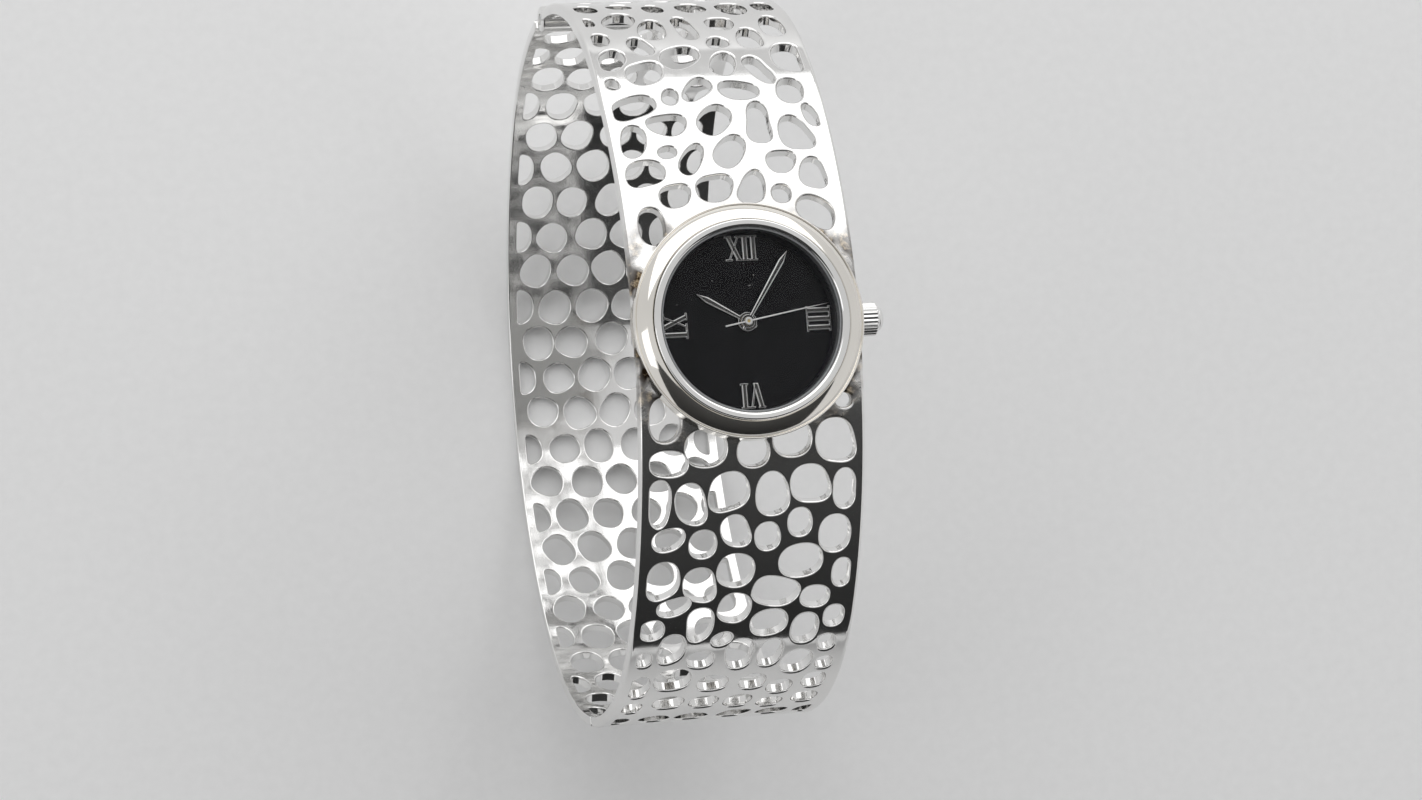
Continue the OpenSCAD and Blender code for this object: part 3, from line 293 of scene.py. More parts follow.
slotFinish = {
    "polished_steel": "caseSteel", "satin_steel": "satin", "brassy": "gilt",
    "black_enamel": "lacquer", "crystal_glass": "glass", "grey_gasket": "gasket",
    "black_rubber": "rubber", "white_plastic": "holder", "board": "board",
    "chip_resin": "resin", "copper": "copper", "cell_steel": "satin"}
for subpart in frame["record"]["subparts"]:
    mesh = nodes[subpart["node"]].data
    mesh.materials.clear()
    mesh.materials.append(finishes[slotFinish[subpart["material_slot"]]])
print("finishes set:", len(finishes))


# Mesh helpers: sizes in mm, meshes in metres

def finishPiece(name, bm, finish, body, node, sharp=35, normals=None, paintedReflectionTops=None):
    mesh = bpy.data.meshes.new(name)
    bm.to_mesh(mesh)
    bm.free()
    mesh.materials.append(finishes[finish])
    mesh.shade_smooth()
    if normals is None:
        mesh.set_sharp_from_angle(angle=math.radians(sharp))
    else:
        mesh.normals_split_custom_set_from_vertices(normals)
    if paintedReflectionTops:  # flat tops take their own finish, the painted reflection of the numerals and hands
        mesh.materials.append(finishes[paintedReflectionTops])
        for polygon in mesh.polygons:
            polygon.material_index = int(polygon.normal.z > 0.999)
    piece = bpy.data.objects.new(name, mesh)
    scene.collection.objects.link(piece)
    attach(piece, body)
    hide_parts(node)
    return piece


def roundCorners(profile, steps=5):  # each corner as radius, height and rounding
    rounded = []
    for i, (r, z, rounding) in enumerate(profile):
        here = Vector((r, z))
        if not rounding:
            rounded.append(here)
            continue
        back = (Vector(profile[i - 1][:2]) - here).normalized()
        ahead = (Vector(profile[(i + 1) % len(profile)][:2]) - here).normalized()
        half = back.angle(ahead) / 2
        reach = rounding / math.tan(half)
        centre = here + (back + ahead).normalized() * (rounding / math.sin(half))
        start, end = here + back * reach - centre, here + ahead * reach - centre
        for k in range(steps + 1):
            rounded.append(centre + rounding * start.normalized().slerp(end.normalized(), k / steps))
    return rounded


def held(points, closed, reach=0.03):  # points beside the corners keep long flats flat when smooth
    kept = []
    for i, here in enumerate(points):
        kept.append(here)
        if not closed and i == len(points) - 1:
            break
        ahead = points[(i + 1) % len(points)]
        run = ahead - here
        if run.length > 8 * reach:
            kept += [here + run.normalized() * reach, ahead - run.normalized() * reach]
    return kept


def lathe(points, steps=180, closed=True):  # a closed ring, or a disc from pole to pole
    bm = bmesh.new()
    verts = [bm.verts.new((r * mm, 0, z * mm)) for r, z in held(points, closed)]
    pairs = list(zip(verts, verts[1:] + verts[:1])) if closed else list(zip(verts, verts[1:]))
    edges = [bm.edges.new(pair) for pair in pairs]
    bmesh.ops.spin(bm, geom=verts + edges, cent=(0, 0, 0), axis=(0, 0, 1), angle=2 * math.pi,
                   steps=steps, use_merge=True)
    bmesh.ops.remove_doubles(bm, verts=bm.verts, dist=0.002 * mm)
    bmesh.ops.recalc_face_normals(bm, faces=bm.faces)
    return bm


def place(bm, matrix):
    bmesh.ops.transform(bm, matrix=matrix, verts=bm.verts)
    return bm


def alongX(x, y, z):
    return Matrix.Translation((x * mm, y * mm, z * mm)) @ Matrix.Rotation(math.pi / 2, 4, "Y")


# The bangle's oval: four arcs, flat distances s counted from the crest

band = {
    "width": 20.0, "wall": 1.0, "ovalLong": 66.0, "ovalDeep": 52.0, "endRadius": 22.0,
    "crestZ": 4.95, "rim": 0.9, "joinAngle": 95.0, "joinGap": 0.2, "joinMargin": 1.9,
    "edgeRound": 0.2, "innerRound": 0.12, "rimRound": 0.36,
    "rings": [0.03, 0.08, 0.15, 0.26], "rimRings": [0.04, 0.1, 0.18, 0.28, 0.42],
    "ringClear": 0.027, "webStep": 0.75, "webClear": 0.325}
head = {"barrelRadius": 9.0, "holeClear": 0.05, "holePoints": 100, "collar": 0.6, "pushWithin": 20}

endY = band["ovalLong"] / 2 - band["endRadius"]
halfDeep = band["ovalDeep"] / 2
arcTurn = 2 * math.atan((halfDeep - band["endRadius"]) / endY)
crestRadius = band["endRadius"] + endY / math.sin(arcTurn)
ovalZ = band["crestZ"] - halfDeep
crestCentreZ = band["crestZ"] - crestRadius
backCentreZ = ovalZ - halfDeep + crestRadius
crestLength = crestRadius * arcTurn
endLength = band["endRadius"] * (math.pi - 2 * arcTurn)
loopLength = 4 * crestLength + 2 * endLength
joinTurn = math.radians(band["joinAngle"])
joinLength = crestLength + band["endRadius"] * (joinTurn - arcTurn)
rimX = band["width"] / 2 - band["rim"]
midRadius = band["endRadius"] - band["wall"] / 2
standZ = cadBox[0][2] / mm
hingeY = endY + midRadius * math.sin(joinTurn)
joinZ = ovalZ + midRadius * math.cos(joinTurn)
sideways = np.array([[1.0, 0, 0]])
downwards = np.array([[0.0, 0, -1]])


def bandFrame(s):  # place, outward and lengthways directions at flat distances s
    s = np.where(s > loopLength / 2, s - loopLength, s)
    side = np.where(s < 0, -1.0, 1.0)
    a = np.abs(s)
    onCrest, onEnd = a < crestLength, a < crestLength + endLength
    turn = np.where(onCrest, a / crestRadius, np.where(
        onEnd, arcTurn + (a - crestLength) / band["endRadius"],
        math.pi - arcTurn + (a - crestLength - endLength) / crestRadius))
    centreY = np.where(onCrest | ~onEnd, 0.0, endY)
    centreZ = np.where(onCrest, crestCentreZ, np.where(onEnd, ovalZ, backCentreZ))
    radius = np.where(onCrest | ~onEnd, crestRadius, band["endRadius"])
    outward = np.stack([0 * s, side * np.sin(turn), np.cos(turn)], 1)
    lengthways = np.stack([0 * s, np.cos(turn), -side * np.sin(turn)], 1)
    centre = np.stack([0 * s, side * centreY, centreZ], 1)
    return centre + outward * radius[:, None], outward, lengthways


def segmentDistance(points, loop):
    a, b = loop, np.roll(loop, -1, 0)
    run = b - a
    away = points[:, None, :] - a[None]
    share = np.clip((away * run).sum(2) / (run * run).sum(1), 0, 1)
    nearest = a[None] + share[..., None] * run[None]
    gap = points[:, None, :] - nearest
    distance = np.hypot(gap[..., 0], gap[..., 1])
    best = distance.argmin(1)
    row = np.arange(len(points))
    return distance[row, best], gap[row, best]


def edgeNormals(points, loop):  # from an edge into the metal
    ahead, behind = np.roll(loop, -1, 0), np.roll(loop, 1, 0)
    tangent = ahead - behind
    normal = np.stack([tangent[:, 1], -tangent[:, 0]], 1)
    area = (loop[:, 0] * ahead[:, 1] - ahead[:, 0] * loop[:, 1]).sum()
    isOutline = np.ptp(loop[:, 1]) > 30  # the outline has its metal inside, a hole outside
    normal *= np.sign(area) * (-1.0 if isOutline else 1.0)
    normal /= np.linalg.norm(normal, axis=1)[:, None]
    nearest = ((points[:, None, :] - loop[None]) ** 2).sum(2).argmin(1)
    return normal[nearest]


def webField(points, loops):  # smooth distance to the nearest edges, and its slope
    power, reach, onEdge = 6, 2.0, 2e-4
    total = np.full(len(points), 1e-9)
    slope = np.zeros((len(points), 2))
    for loop in loops:
        low, high = loop.min(0) - reach, loop.max(0) + reach
        near = np.flatnonzero(((points > low) & (points < high)).all(1))
        if not len(near):
            continue
        distance, gap = segmentDistance(points[near], loop)
        distance = np.maximum(distance, 1e-5)
        unit = gap / distance[:, None]
        touching = distance < onEdge
        if touching.any():  # on the edge itself the slope is the outline's own normal
            unit[touching] = edgeNormals(points[near][touching], loop)
        weight = distance ** -power
        total[near] += weight
        slope[near] += (weight / distance)[:, None] * unit
    value = total ** (-1 / power)
    return value, slope * (value ** (power + 1))[:, None]


# Openings: pebbles on the flat band, each a rounded oblong that can lean, taper and have a corner

pebbleShape = {"points": 48, "power": 0.85, "inset": 0.12, "cornerPull": 0.28, "cornerPower": 6}


def pebble(opening, inset=0.0):
    x, s, width, height, lean, taper, waist, *corner = opening
    turn = np.linspace(0, 2 * math.pi, pebbleShape["points"], endpoint=False)
    c, v = np.cos(turn), np.sin(turn)
    px = (width / 2 - inset) * np.sign(c) * np.abs(c) ** pebbleShape["power"] * (1 + taper * v)
    px *= 1 - waist * (1 - np.abs(v))
    py = (height / 2 - inset) * np.sign(v) * np.abs(v) ** pebbleShape["power"]
    a = math.radians(lean)
    ox, oy = px * math.cos(a) - py * math.sin(a), px * math.sin(a) + py * math.cos(a)
    pull = 1.0
    if corner:
        off = np.arctan2(oy, ox) - math.radians(corner[0])
        pull = 1 + pebbleShape["cornerPull"] * np.maximum(0, np.cos(off)) ** pebbleShape["cornerPower"]
    points = np.stack([x + pull * ox, s + pull * oy], 1)
    points[:, 0] = np.clip(points[:, 0], -rimX, rimX)
    return evenLoop(clearOfHead(points))


def clearOfHead(points):  # pushes an outline off the ring of metal round the case
    flatY = crestRadius * np.sin(points[:, 1] / crestRadius)
    reach = np.hypot(points[:, 0], flatY)
    clear = head["barrelRadius"] + head["collar"]
    inside = (reach < clear) & (np.abs(points[:, 1]) < head["pushWithin"])
    push = np.where(inside, clear / np.maximum(reach, 0.1), 1.0)
    x = np.clip(points[:, 0] * push, -rimX, rimX)
    s = np.where(inside, crestRadius * np.arcsin(flatY * push / crestRadius), points[:, 1])
    return np.stack([x, s], 1)


def evenLoop(points):  # the same loop with even steps and soft corners
    for _ in range(2):
        run = np.vstack([points, points[:1]])
        step = np.hypot(*np.diff(run, axis=0).T)
        at = np.concatenate([[0], np.cumsum(step)])
        even = np.linspace(0, at[-1], pebbleShape["points"], endpoint=False)
        points = np.stack([np.interp(even, at, run[:, k]) for k in (0, 1)], 1)
        points = 0.5 * points + 0.25 * (np.roll(points, 1, 0) + np.roll(points, -1, 0))
    return points


def straightRun(points, step=0.4):  # an outline of straight edges, in even short steps
    run = []
    for a, b in zip(points, points[1:] + points[:1]):
        a, b = np.array(a, float), np.array(b, float)
        count = max(1, round(np.hypot(*(b - a)) / step))
        run += [a + (b - a) * k / count for k in range(count)]
    return np.array(run)


# Rows of openings for the stretches that the photo hides, near the joins and at the back
rowShape = {"pitch": 3.55, "pitchLimit": 1.1, "count": 5, "web": 0.75, "overlap": 1.06, "drift": 0.35,
            "heightDrift": 0.7, "lean": 70, "taper": 0.3, "above": 39.2, "below": 41.2}


def nudge(k):  # a steady share between -0.5 and 0.5, different for each k
    value = math.sin(math.radians(k * 78.2)) * 43.76
    return value - math.floor(value) - 0.5


def rowPebbles(low, high, seed):
    rows = math.floor((high - low) / rowShape["pitch"])
    pitch = min((high - low) / rows, rowShape["pitchLimit"] * rowShape["pitch"])
    step = 2 * rimX / rowShape["count"]
    drift = rowShape["drift"]
    pebbles = []
    for i in range(rows):
        odd = (i + seed) % 2
        for j in range(rowShape["count"] + odd):
            k = seed * 31 + i * 7 + j
            atRim = odd and j in (0, rowShape["count"])
            x = -rimX + (j + 0.5 - odd * 0.5) * step + (0 if atRim else drift * nudge(k))
            s = low + (i + 0.5) * pitch + drift * nudge(k + 3)
            width = step - rowShape["web"] + drift * nudge(k + 5)
            height = pitch * rowShape["overlap"] - rowShape["web"] + rowShape["heightDrift"] * nudge(k + 9)
            lean = 0 if atRim else rowShape["lean"] * nudge(k + 13)
            pebbles.append((x, s, width, height, lean, rowShape["taper"] * nudge(k + 17), 0))
    return pebbles


# Openings beside and below the head, as place across, distance from the crest, width, height,
# lean, taper, waist and, where there is one, the direction of a corner
upperPebbles = [
    (-7.55, 8.7, 2.5, 3.6, 0, 0, 0), (7.1, 9.6, 3.6, 2.7, -32, 0, 0, 300),
    (-5.2, 11.4, 2.8, 2.3, 8, 0, 0, 32), (-1.6, 12, 3.3, 2.7, 5, 0, 0, 33),
    (2, 12.2, 2.3, 3.3, -18, -0.35, 0, 228), (4.35, 11.3, 1.9, 1.9, 0, 0, 0),
    (7.45, 13.3, 2.4, 3.2, -10, -0.2, 0, 314), (-7.3, 13.8, 3.6, 2.6, 5, 0, 0, 221),
    (-3.05, 15, 1.9, 3.7, -32, -0.15, 0), (0.35, 15.5, 2.6, 3.5, -38, 0, 0, 53),
    (4.75, 14.4, 2.6, 2.4, 0, 0.1, 0, 21), (-5.1, 15.75, 1.9, 1.4, 12, 0, 0),
    (-7.85, 17.15, 2.4, 3.3, -10, 0, 0, 245), (-4.4, 18.6, 3.3, 2.5, 6, 0.3, 0, 180),
    (-0.3, 19.05, 2.8, 3.9, -42, 0, 0), (3.6, 18.7, 2.9, 4.8, -5, -0.26, 0.3),
    (6.55, 17.5, 2.9, 3.8, 8, -0.25, 0, 322), (8.4, 19.4, 1.4, 2.6, 12, -0.2, 0, 302),
    (7.2, 22.15, 2.6, 3.2, -12, 0, 0), (-7.1, 20.8, 4.2, 2.5, 18, 0, 0, 216),
    (-3.75, 21.8, 1.6, 2.1, -20, 0, 0), (-1.1, 22.7, 2.1, 3.2, -45, 0.2, 0, 225),
    (2.35, 22.35, 3.4, 2.4, -10, 0.15, 0, 352), (-8.6, 23.5, 1.4, 1.5, 0, 0, 0),
    (-5.55, 24.7, 3.4, 2.8, 18, 0, 0, 38), (1.9, 25.75, 2.4, 3.3, -25, -0.15, 0),
    (4.85, 24.9, 2, 3.7, 25, 0.2, 0.1, 319), (8, 26.4, 3.2, 3.9, 0, 0, 0, 318),
    (-8.05, 26.6, 2.4, 3.2, -38, 0, 0), (-2, 26.7, 3.6, 2.9, 28, 0, 0, 27),
    (-5.15, 28.5, 2, 2.9, 20, 0, 0, 328), (1.95, 28.75, 2.1, 1.8, 30, -0.2, 0, 333),
    (5.15, 29.4, 2.5, 3.5, 0, -0.25, 0), (-8.5, 29.6, 2, 2.2, -20, 0, 0),
    (-3.35, 31.3, 2.7, 4, -10, -0.2, 0), (-0.3, 31.5, 2.3, 4.7, 8, -0.1, 0.2),
    (3.1, 32, 2.8, 2.7, 0, 0.2, 0), (7.75, 31.5, 2.4, 4.2, 0, -0.2, 0), (-8.85, 32.9, 1.5, 2, 0, 0, 0),
    (-5.95, 33.2, 3, 4.1, -28, 0, 0), (-8.1, 36.8, 2.3, 3.2, 0, 0, 0), (-4.9, 37.4, 2.6, 2.5, 0, 0, 0),
    (-2, 36.4, 2.1, 3.2, 0, 0, 0), (1.5, 36.4, 3, 3.6, 0, 0, 0), (5.2, 35.9, 3, 4.2, 0, 0.1, 0),
    (8.2, 36.3, 2.2, 3.4, 0, 0, 0)]
lowerPebbles = [
    (-7.75, -8, 3, 4.1, 0, 0, 0), (-7.5, -11.8, 3.6, 2.4, -3, 0, 0), (-4.2, -10.6, 3.9, 3.4, 0, 0, 0),
    (0, -11.1, 3, 2.9, 0, 0, 0), (3.45, -10.1, 3.6, 3.4, 0, 0, 0), (7.25, -10.4, 3.5, 3.9, 0, 0, 0, 319),
    (8.1, -7.1, 1.7, 1.5, 0, 0, 0), (-8.25, -15.1, 2.1, 4, 0, 0.15, 0, 262),
    (-5.55, -15.35, 2.8, 3.7, 8, 0, 0, 306), (-2.05, -14.45, 3.6, 3.5, 12, 0, 0, 222),
    (1.75, -14.9, 3.1, 4.1, 5, -0.15, 0), (5, -14.15, 3.5, 3.5, 0, 0, 0, 329),
    (8.2, -14.8, 2.2, 3.8, 0, 0, 0), (-7.5, -18.65, 2.8, 2.2, 12, 0, 0, 25),
    (-4.3, -19.2, 2.6, 2.8, 0, 0, 0), (-1.5, -18.05, 2.6, 3, 20, 0, 0, 314),
    (1.45, -18.8, 2.4, 2.8, 10, 0, 0), (4.3, -17.65, 2.3, 2.8, 5, 0, 0), (7.5, -18.9, 3, 3.7, 0, 0, 0),
    (-7.6, -22.4, 3, 3.6, 5, 0, 0, 241), (-4.4, -23.05, 3, 3.4, 8, 0, 0, 309),
    (-1.2, -21.9, 3.5, 3.4, -10, 0, 0), (4.6, -21.3, 4.1, 3.4, 5, 0, 0), (8.4, -22.7, 1.9, 3, 0, 0, 0),
    (2.35, -24.2, 4.3, 3.1, -15, 0, 0.08, 358), (6.2, -25, 2.8, 2.4, -5, 0, 0),
    (-6.6, -25.3, 2.9, 1.9, 12, 0.1, 0, 29), (-3.9, -27.2, 2.5, 3.6, 5, 0.15, 0, 246),
    (-1, -25.7, 3.1, 3.2, -15, 0, 0), (2.3, -27.5, 3.5, 3, 10, 0, 0), (5.65, -28.4, 2.6, 3.6, 0, 0, 0),
    (8.15, -27.2, 2, 2.5, 0, 0, 0), (-8.2, -27.6, 2.3, 2.3, 10, 0, 0),
    (-6.15, -29.8, 2.4, 3.4, 0, 0, 0, 240), (-1.75, -29.05, 2, 1.6, 25, 0, 0),
    (0, -31.1, 2.6, 4, 8, 0, 0.05, 41), (2.9, -31.15, 2.4, 3.7, -8, 0, 0),
    (7.85, -30.2, 1.7, 2.1, 10, 0, 0), (-3.4, -31.4, 2.6, 2.4, -10, 0, 0), (-8.55, -31, 1.6, 2, 0, 0, 0),
    (5.5, -32.5, 3, 3.4, -25, 0, 0), (8.1, -32.9, 1.8, 2, 0, 0, 0), (-5.5, -34.1, 3.6, 3.5, 0, 0, 0),
    (-8.4, -35, 2.2, 3.8, 0, 0, 0), (-1.7, -35, 3.1, 2.8, 0, 0, 0), (2, -35.2, 2.7, 2.8, 0, 0, 0),
    (4.7, -36.4, 2.6, 2.8, 0, 0, 0), (7.7, -35.6, 2.4, 2.9, 0, 0, 0), (-5.1, -38.3, 3.1, 3, 0, 0, 0),
    (-1.8, -38.6, 2.9, 3, 0, 0, 0), (1.4, -38.9, 2.8, 3.3, 0, 0, 0), (4.5, -39.7, 2.6, 2.8, 0, 0, 0),
    (7.6, -39, 2.6, 2.9, 0, 0, 0), (-8.3, -39, 2, 2.8, 0, 0, 0)]
listedJoin = 48.2  # where the front half ends in these lists


def keepWeb(flat, faces, holes):  # drops the triangles that lie in the openings
    middle = flat[faces].mean(1)
    inHole = np.zeros(len(faces), bool)
    for loop in holes:
        near = np.flatnonzero(((middle > loop.min(0)) & (middle < loop.max(0))).all(1))
        x, y = middle[near].T
        crossings = np.zeros(len(near), int)
        for a, b in zip(loop, np.roll(loop, -1, 0)):
            spans = (a[1] > y) != (b[1] > y)
            crossings += spans & (x < a[0] + (y - a[1]) / (b[1] - a[1] + 1e-12) * (b[0] - a[0]))
        inHole[near] |= crossings % 2 == 1
    return [tuple(int(i) for i in face) for face in faces[~inHole]]


def webPoints(loops):  # rings of points beside every edge and an even grid between them
    rings = []
    for loop in loops:
        normal = edgeNormals(loop, loop)
        rings += [loop + normal * ring for ring in band["rimRings" if loop is loops[0] else "rings"]]
    rings = np.vstack(rings)
    low, high = loops[0].min(0), loops[0].max(0)
    step = band["webStep"]
    xs, ss = np.meshgrid(np.arange(low[0] + step / 2, high[0], step),
                         np.arange(low[1] + step / 2, high[1], step))
    xs = xs + np.where(np.arange(xs.shape[0]) % 2, step / 2, 0)[:, None]
    grid = np.stack([xs.ravel(), ss.ravel()], 1)
    besideEdge, _ = webField(rings, loops)
    inWeb, _ = webField(grid, loops)
    return np.vstack([rings[besideEdge > band["ringClear"]], grid[inWeb >= band["webClear"]]])


def webMesh(loops):  # flat points and triangles of one half, laid out straight
    points, edges = [], []
    for loop in loops:
        first = len(points)
        points += [Vector(p) for p in loop]
        edges += [(first + i, first + (i + 1) % len(loop)) for i in range(len(loop))]
    points += [Vector(p) for p in webPoints(loops)]
    flat, _, faces, *_ = delaunay_2d_cdt(points, edges, [], 1, 1e-6)
    flat = np.array([tuple(p) for p in flat])
    return flat, keepWeb(flat, np.array(faces), loops[1:])


def bandSkin(flat, field, size, isOuter):  # places and normals of one skin, rounded at its edges
    value, slope = field
    sign, base = (1, 0.0) if isOuter else (-1, -band["wall"])
    skin, outward, lengthways = bandFrame(flat[:, 1])
    inPlane = slope[:, :1] * sideways + slope[:, 1:] * lengthways
    if isOuter:  # lies flat where the watch stands
        onStand = skin[:, 2:] < standZ
        skin[:, 2] = np.maximum(skin[:, 2], standZ)
        outward = np.where(onStand, downwards, outward)
    drop = np.clip(size - value, 0, size)
    rise = np.sqrt(size ** 2 - drop ** 2)
    height = base - sign * (size - rise)
    spots = skin + outward * height[:, None] + flat[:, :1] * sideways
    normals = sign * outward * rise[:, None] - inPlane * drop[:, None]
    return spots * mm, normals / np.linalg.norm(normals, axis=1)[:, None]


def bandPiece(name, outline, holes, body, node):
    loops = [straightRun(outline)] + holes
    flat, faces = webMesh(loops)
    field = webField(flat, loops)
    toRim, _ = segmentDistance(flat, loops[0])
    outerRound = np.where(toRim < band["rim"] / 2, band["rimRound"], band["edgeRound"])
    outer, outerNormals = bandSkin(flat, field, outerRound, True)
    inner, innerNormals = bandSkin(flat, field, band["innerRound"], False)
    bm = bmesh.new()
    upper = [bm.verts.new(p) for p in outer]
    lower = [bm.verts.new(p) for p in inner]
    for face in faces:
        bm.faces.new([upper[i] for i in face])
        bm.faces.new([lower[i] for i in reversed(face)])
    sides = dict.fromkeys(side for face in faces for side in zip(face, face[1:] + face[:1]))
    for a, b in sides:
        if (b, a) not in sides:  # a wall where the web ends
            bm.faces.new([upper[b], upper[a], lower[a], lower[b]])
    normals = [Vector(v) for v in np.vstack([outerNormals, innerNormals])]
    normals = [normals[i] for i, v in enumerate(upper + lower) if v.link_faces]
    bmesh.ops.delete(bm, geom=[v for v in bm.verts if not v.link_faces], context="VERTS")
    print(name, "faces:", len(bm.faces))
    finishPiece(name, bm, "bandSteel", body, node, normals=normals)


def bandOpenings():
    stretch = joinLength / listedJoin
    front = [pebble((x, s * stretch, width, height * stretch, *rest), pebbleShape["inset"])
             for x, s, width, height, *rest in upperPebbles + lowerPebbles]
    joinEnd = joinLength - band["joinMargin"]
    front += [pebble(p) for p in rowPebbles(rowShape["above"] * stretch, joinEnd, 2)]
    front += [pebble((x, -s, *rest)) for x, s, *rest in rowPebbles(rowShape["below"] * stretch, joinEnd, 1)]
    backStart = joinLength + band["joinMargin"]
    back = [pebble(p) for p in rowPebbles(backStart, loopLength - backStart, 4)]
    return front, back


hinge = {"knuckle": 1.2, "pin": 0.5, "pinRound": 0.2, "length": 19.6, "middle": 9.0, "gap": 0.1,
         "reach": 0.75, "setback": 1.43, "round": 0.25, "pressed": 0.01, "running": 0.05}


def bandOutline(isFront):  # flat outline of one half, notched for the other half's knuckles
    half, gap = band["width"] / 2, band["joinGap"] / 2
    sign = 1 if isFront else -1
    hingeEnd = joinLength - sign * hinge["reach"]
    notch = joinLength - sign * hinge["setback"]
    claspEnd = -(joinLength - gap) if isFront else loopLength - joinLength - gap
    inner = hinge["middle"] / 2 + (hinge["gap"] if isFront else 0)
    outer = hinge["length"] / 2
    if isFront:
        return [(-half, claspEnd), (half, claspEnd), (half, notch), (outer, notch), (outer, hingeEnd),
                (inner, hingeEnd), (inner, notch), (-inner, notch), (-inner, hingeEnd),
                (-outer, hingeEnd), (-outer, notch), (-half, notch)]
    return [(-half, notch), (-inner, notch), (-inner, hingeEnd), (inner, hingeEnd), (inner, notch),
            (half, notch), (half, claspEnd), (-half, claspEnd)]


def headHole():  # the round hole under the case, on the flat band
    radius = head["barrelRadius"] + head["holeClear"]
    turn = np.linspace(0, 2 * math.pi, head["holePoints"], endpoint=False)
    along = crestRadius * np.arcsin(radius * np.sin(turn) / crestRadius)
    return np.stack([radius * np.cos(turn), along], 1)


frontOpenings, backOpenings = bandOpenings()
bandPiece("bangle_front", bandOutline(True), frontOpenings + [headHole()], "watch", "front_band")
bandPiece("bangle_back", bandOutline(False), backOpenings, "back_half", "back_band")


# The watch head, from the case up

case = {"barrel": 9.0, "bore": 8.25, "foot": 0.85, "recess": 8.67, "ledge": 5.35, "rim": 10.15,
        "lip": 10.03, "seat": 4.0, "lipTop": 5.58, "shoulder": 6.35, "chamfer": 0.08,
        "domeIn": 8.76, "domeOut": 9.98, "domeFoot": 5.52, "domeSteps": 14, "domeSlopes": (54, 12),
        "footEase": 0.07, "steps": 180, "tubeHole": 0.76, "tubeReach": 4, "stemZ": 2.45}


def caseProfile():
    atRim, atRing = (math.radians(a) for a in case["domeSlopes"])
    wide, high = case["domeOut"] - case["domeIn"], case["shoulder"] - case["domeFoot"]
    dome = []
    for i in range(case["domeSteps"] + 1):
        a = atRim + (atRing - atRim) * i / case["domeSteps"]
        across = (math.sin(a) - math.sin(atRing)) / (math.sin(atRim) - math.sin(atRing))
        down = (math.cos(atRing) - math.cos(a)) / (math.cos(atRing) - math.cos(atRim))
        dome.append((case["domeIn"] + wide * across, case["shoulder"] - high * down, 0))
    outside = [(case["bore"], case["ledge"], 0), (case["bore"], case["foot"], 0.08),
               (case["barrel"], case["foot"], 0.12), (case["barrel"], case["seat"], 0),
               (case["rim"] - case["footEase"], case["seat"], 0), (case["rim"], case["seat"], 0),
               (case["rim"], case["lipTop"], 0.06), (case["lip"], case["lipTop"], 0.05)]
    recess = [(case["recess"], case["shoulder"] - case["chamfer"], 0), (case["recess"], case["ledge"], 0)]
    return roundCorners(outside + dome + recess, 4)


def saddle(bm):  # lays the collar's underside onto the curved band
    for v in bm.verts:
        if abs(v.co.z - case["seat"] * mm) < 1e-7:
            y = v.co.y / mm
            seat = crestCentreZ + math.sqrt((crestRadius + head["holeClear"]) ** 2 - y * y)
            isRim = math.hypot(v.co.x, v.co.y) / mm > case["rim"] - case["footEase"] / 2
            v.co.z = (seat + (case["footEase"] if isRim else 0.0)) * mm


def cutTube(piece):
    cutter = bmesh.new()
    bmesh.ops.create_cone(cutter, cap_ends=True, segments=48, radius1=case["tubeHole"] * mm,
                          radius2=case["tubeHole"] * mm, depth=case["tubeReach"] * mm,
                          matrix=alongX(case["barrel"], 0, case["stemZ"]))
    mesh = bpy.data.meshes.new("tube_cutter")
    cutter.to_mesh(mesh)
    cutter.free()
    tool = bpy.data.objects.new("tube_cutter", mesh)
    scene.collection.objects.link(tool)
    change = piece.modifiers.new("tube", "BOOLEAN")
    change.operation, change.solver, change.object = "DIFFERENCE", "EXACT", tool
    bpy.context.view_layer.update()
    cut = bpy.data.meshes.new_from_object(piece.evaluated_get(bpy.context.evaluated_depsgraph_get()))
    piece.modifiers.clear()
    piece.data = cut
    bpy.data.objects.remove(tool)


bm = lathe(caseProfile(), case["steps"])
saddle(bm)
caseDome = finishPiece("case_dome", bm, "caseSteel", "watch", "case_body")
cutTube(caseDome)
caseDome.data.shade_smooth()
caseDome.data.set_sharp_from_angle(angle=math.radians(35))


headRings = {
    "pressed_bezel": {"node": "bezel_ring", "finish": "ringSteel", "inner": 7.92, "outer": 8.62,
                      "foot": 5.37, "top": 6.5, "slant": 0, "rounds": (0, 0.05, 0.13, 0.3)},
    "crystal_seal": {"node": "crystal_gasket", "finish": "gasket", "inner": 7.785, "outer": 7.91,
                     "foot": 5.37, "top": 6.22, "slant": 0, "rounds": (0, 0, 0.04, 0.04)},
    "dial_flange": {"node": "flange_ring", "finish": "flangeGrey", "inner": 7.6, "outer": 8.23,
                    "foot": 4.41, "top": 5.35, "slant": 0.1, "rounds": (0.03, 0, 0, 0.05)},
    "dial_plate": {"node": "dial", "finish": "lacquer", "inner": 0.75, "outer": 8.2,
                   "foot": 4.0, "top": 4.4, "slant": 0, "rounds": (0, 0, 0.03, 0.05)}}
for name, ring in headRings.items():
    corners = [(ring["inner"], ring["foot"]), (ring["outer"], ring["foot"]),
               (ring["outer"], ring["top"]), (ring["inner"] + ring["slant"], ring["top"])]
    profile = [(*corner, rounding) for corner, rounding in zip(corners, ring["rounds"])]
    finishPiece(name, lathe(roundCorners(profile)), ring["finish"], "watch", ring["node"])

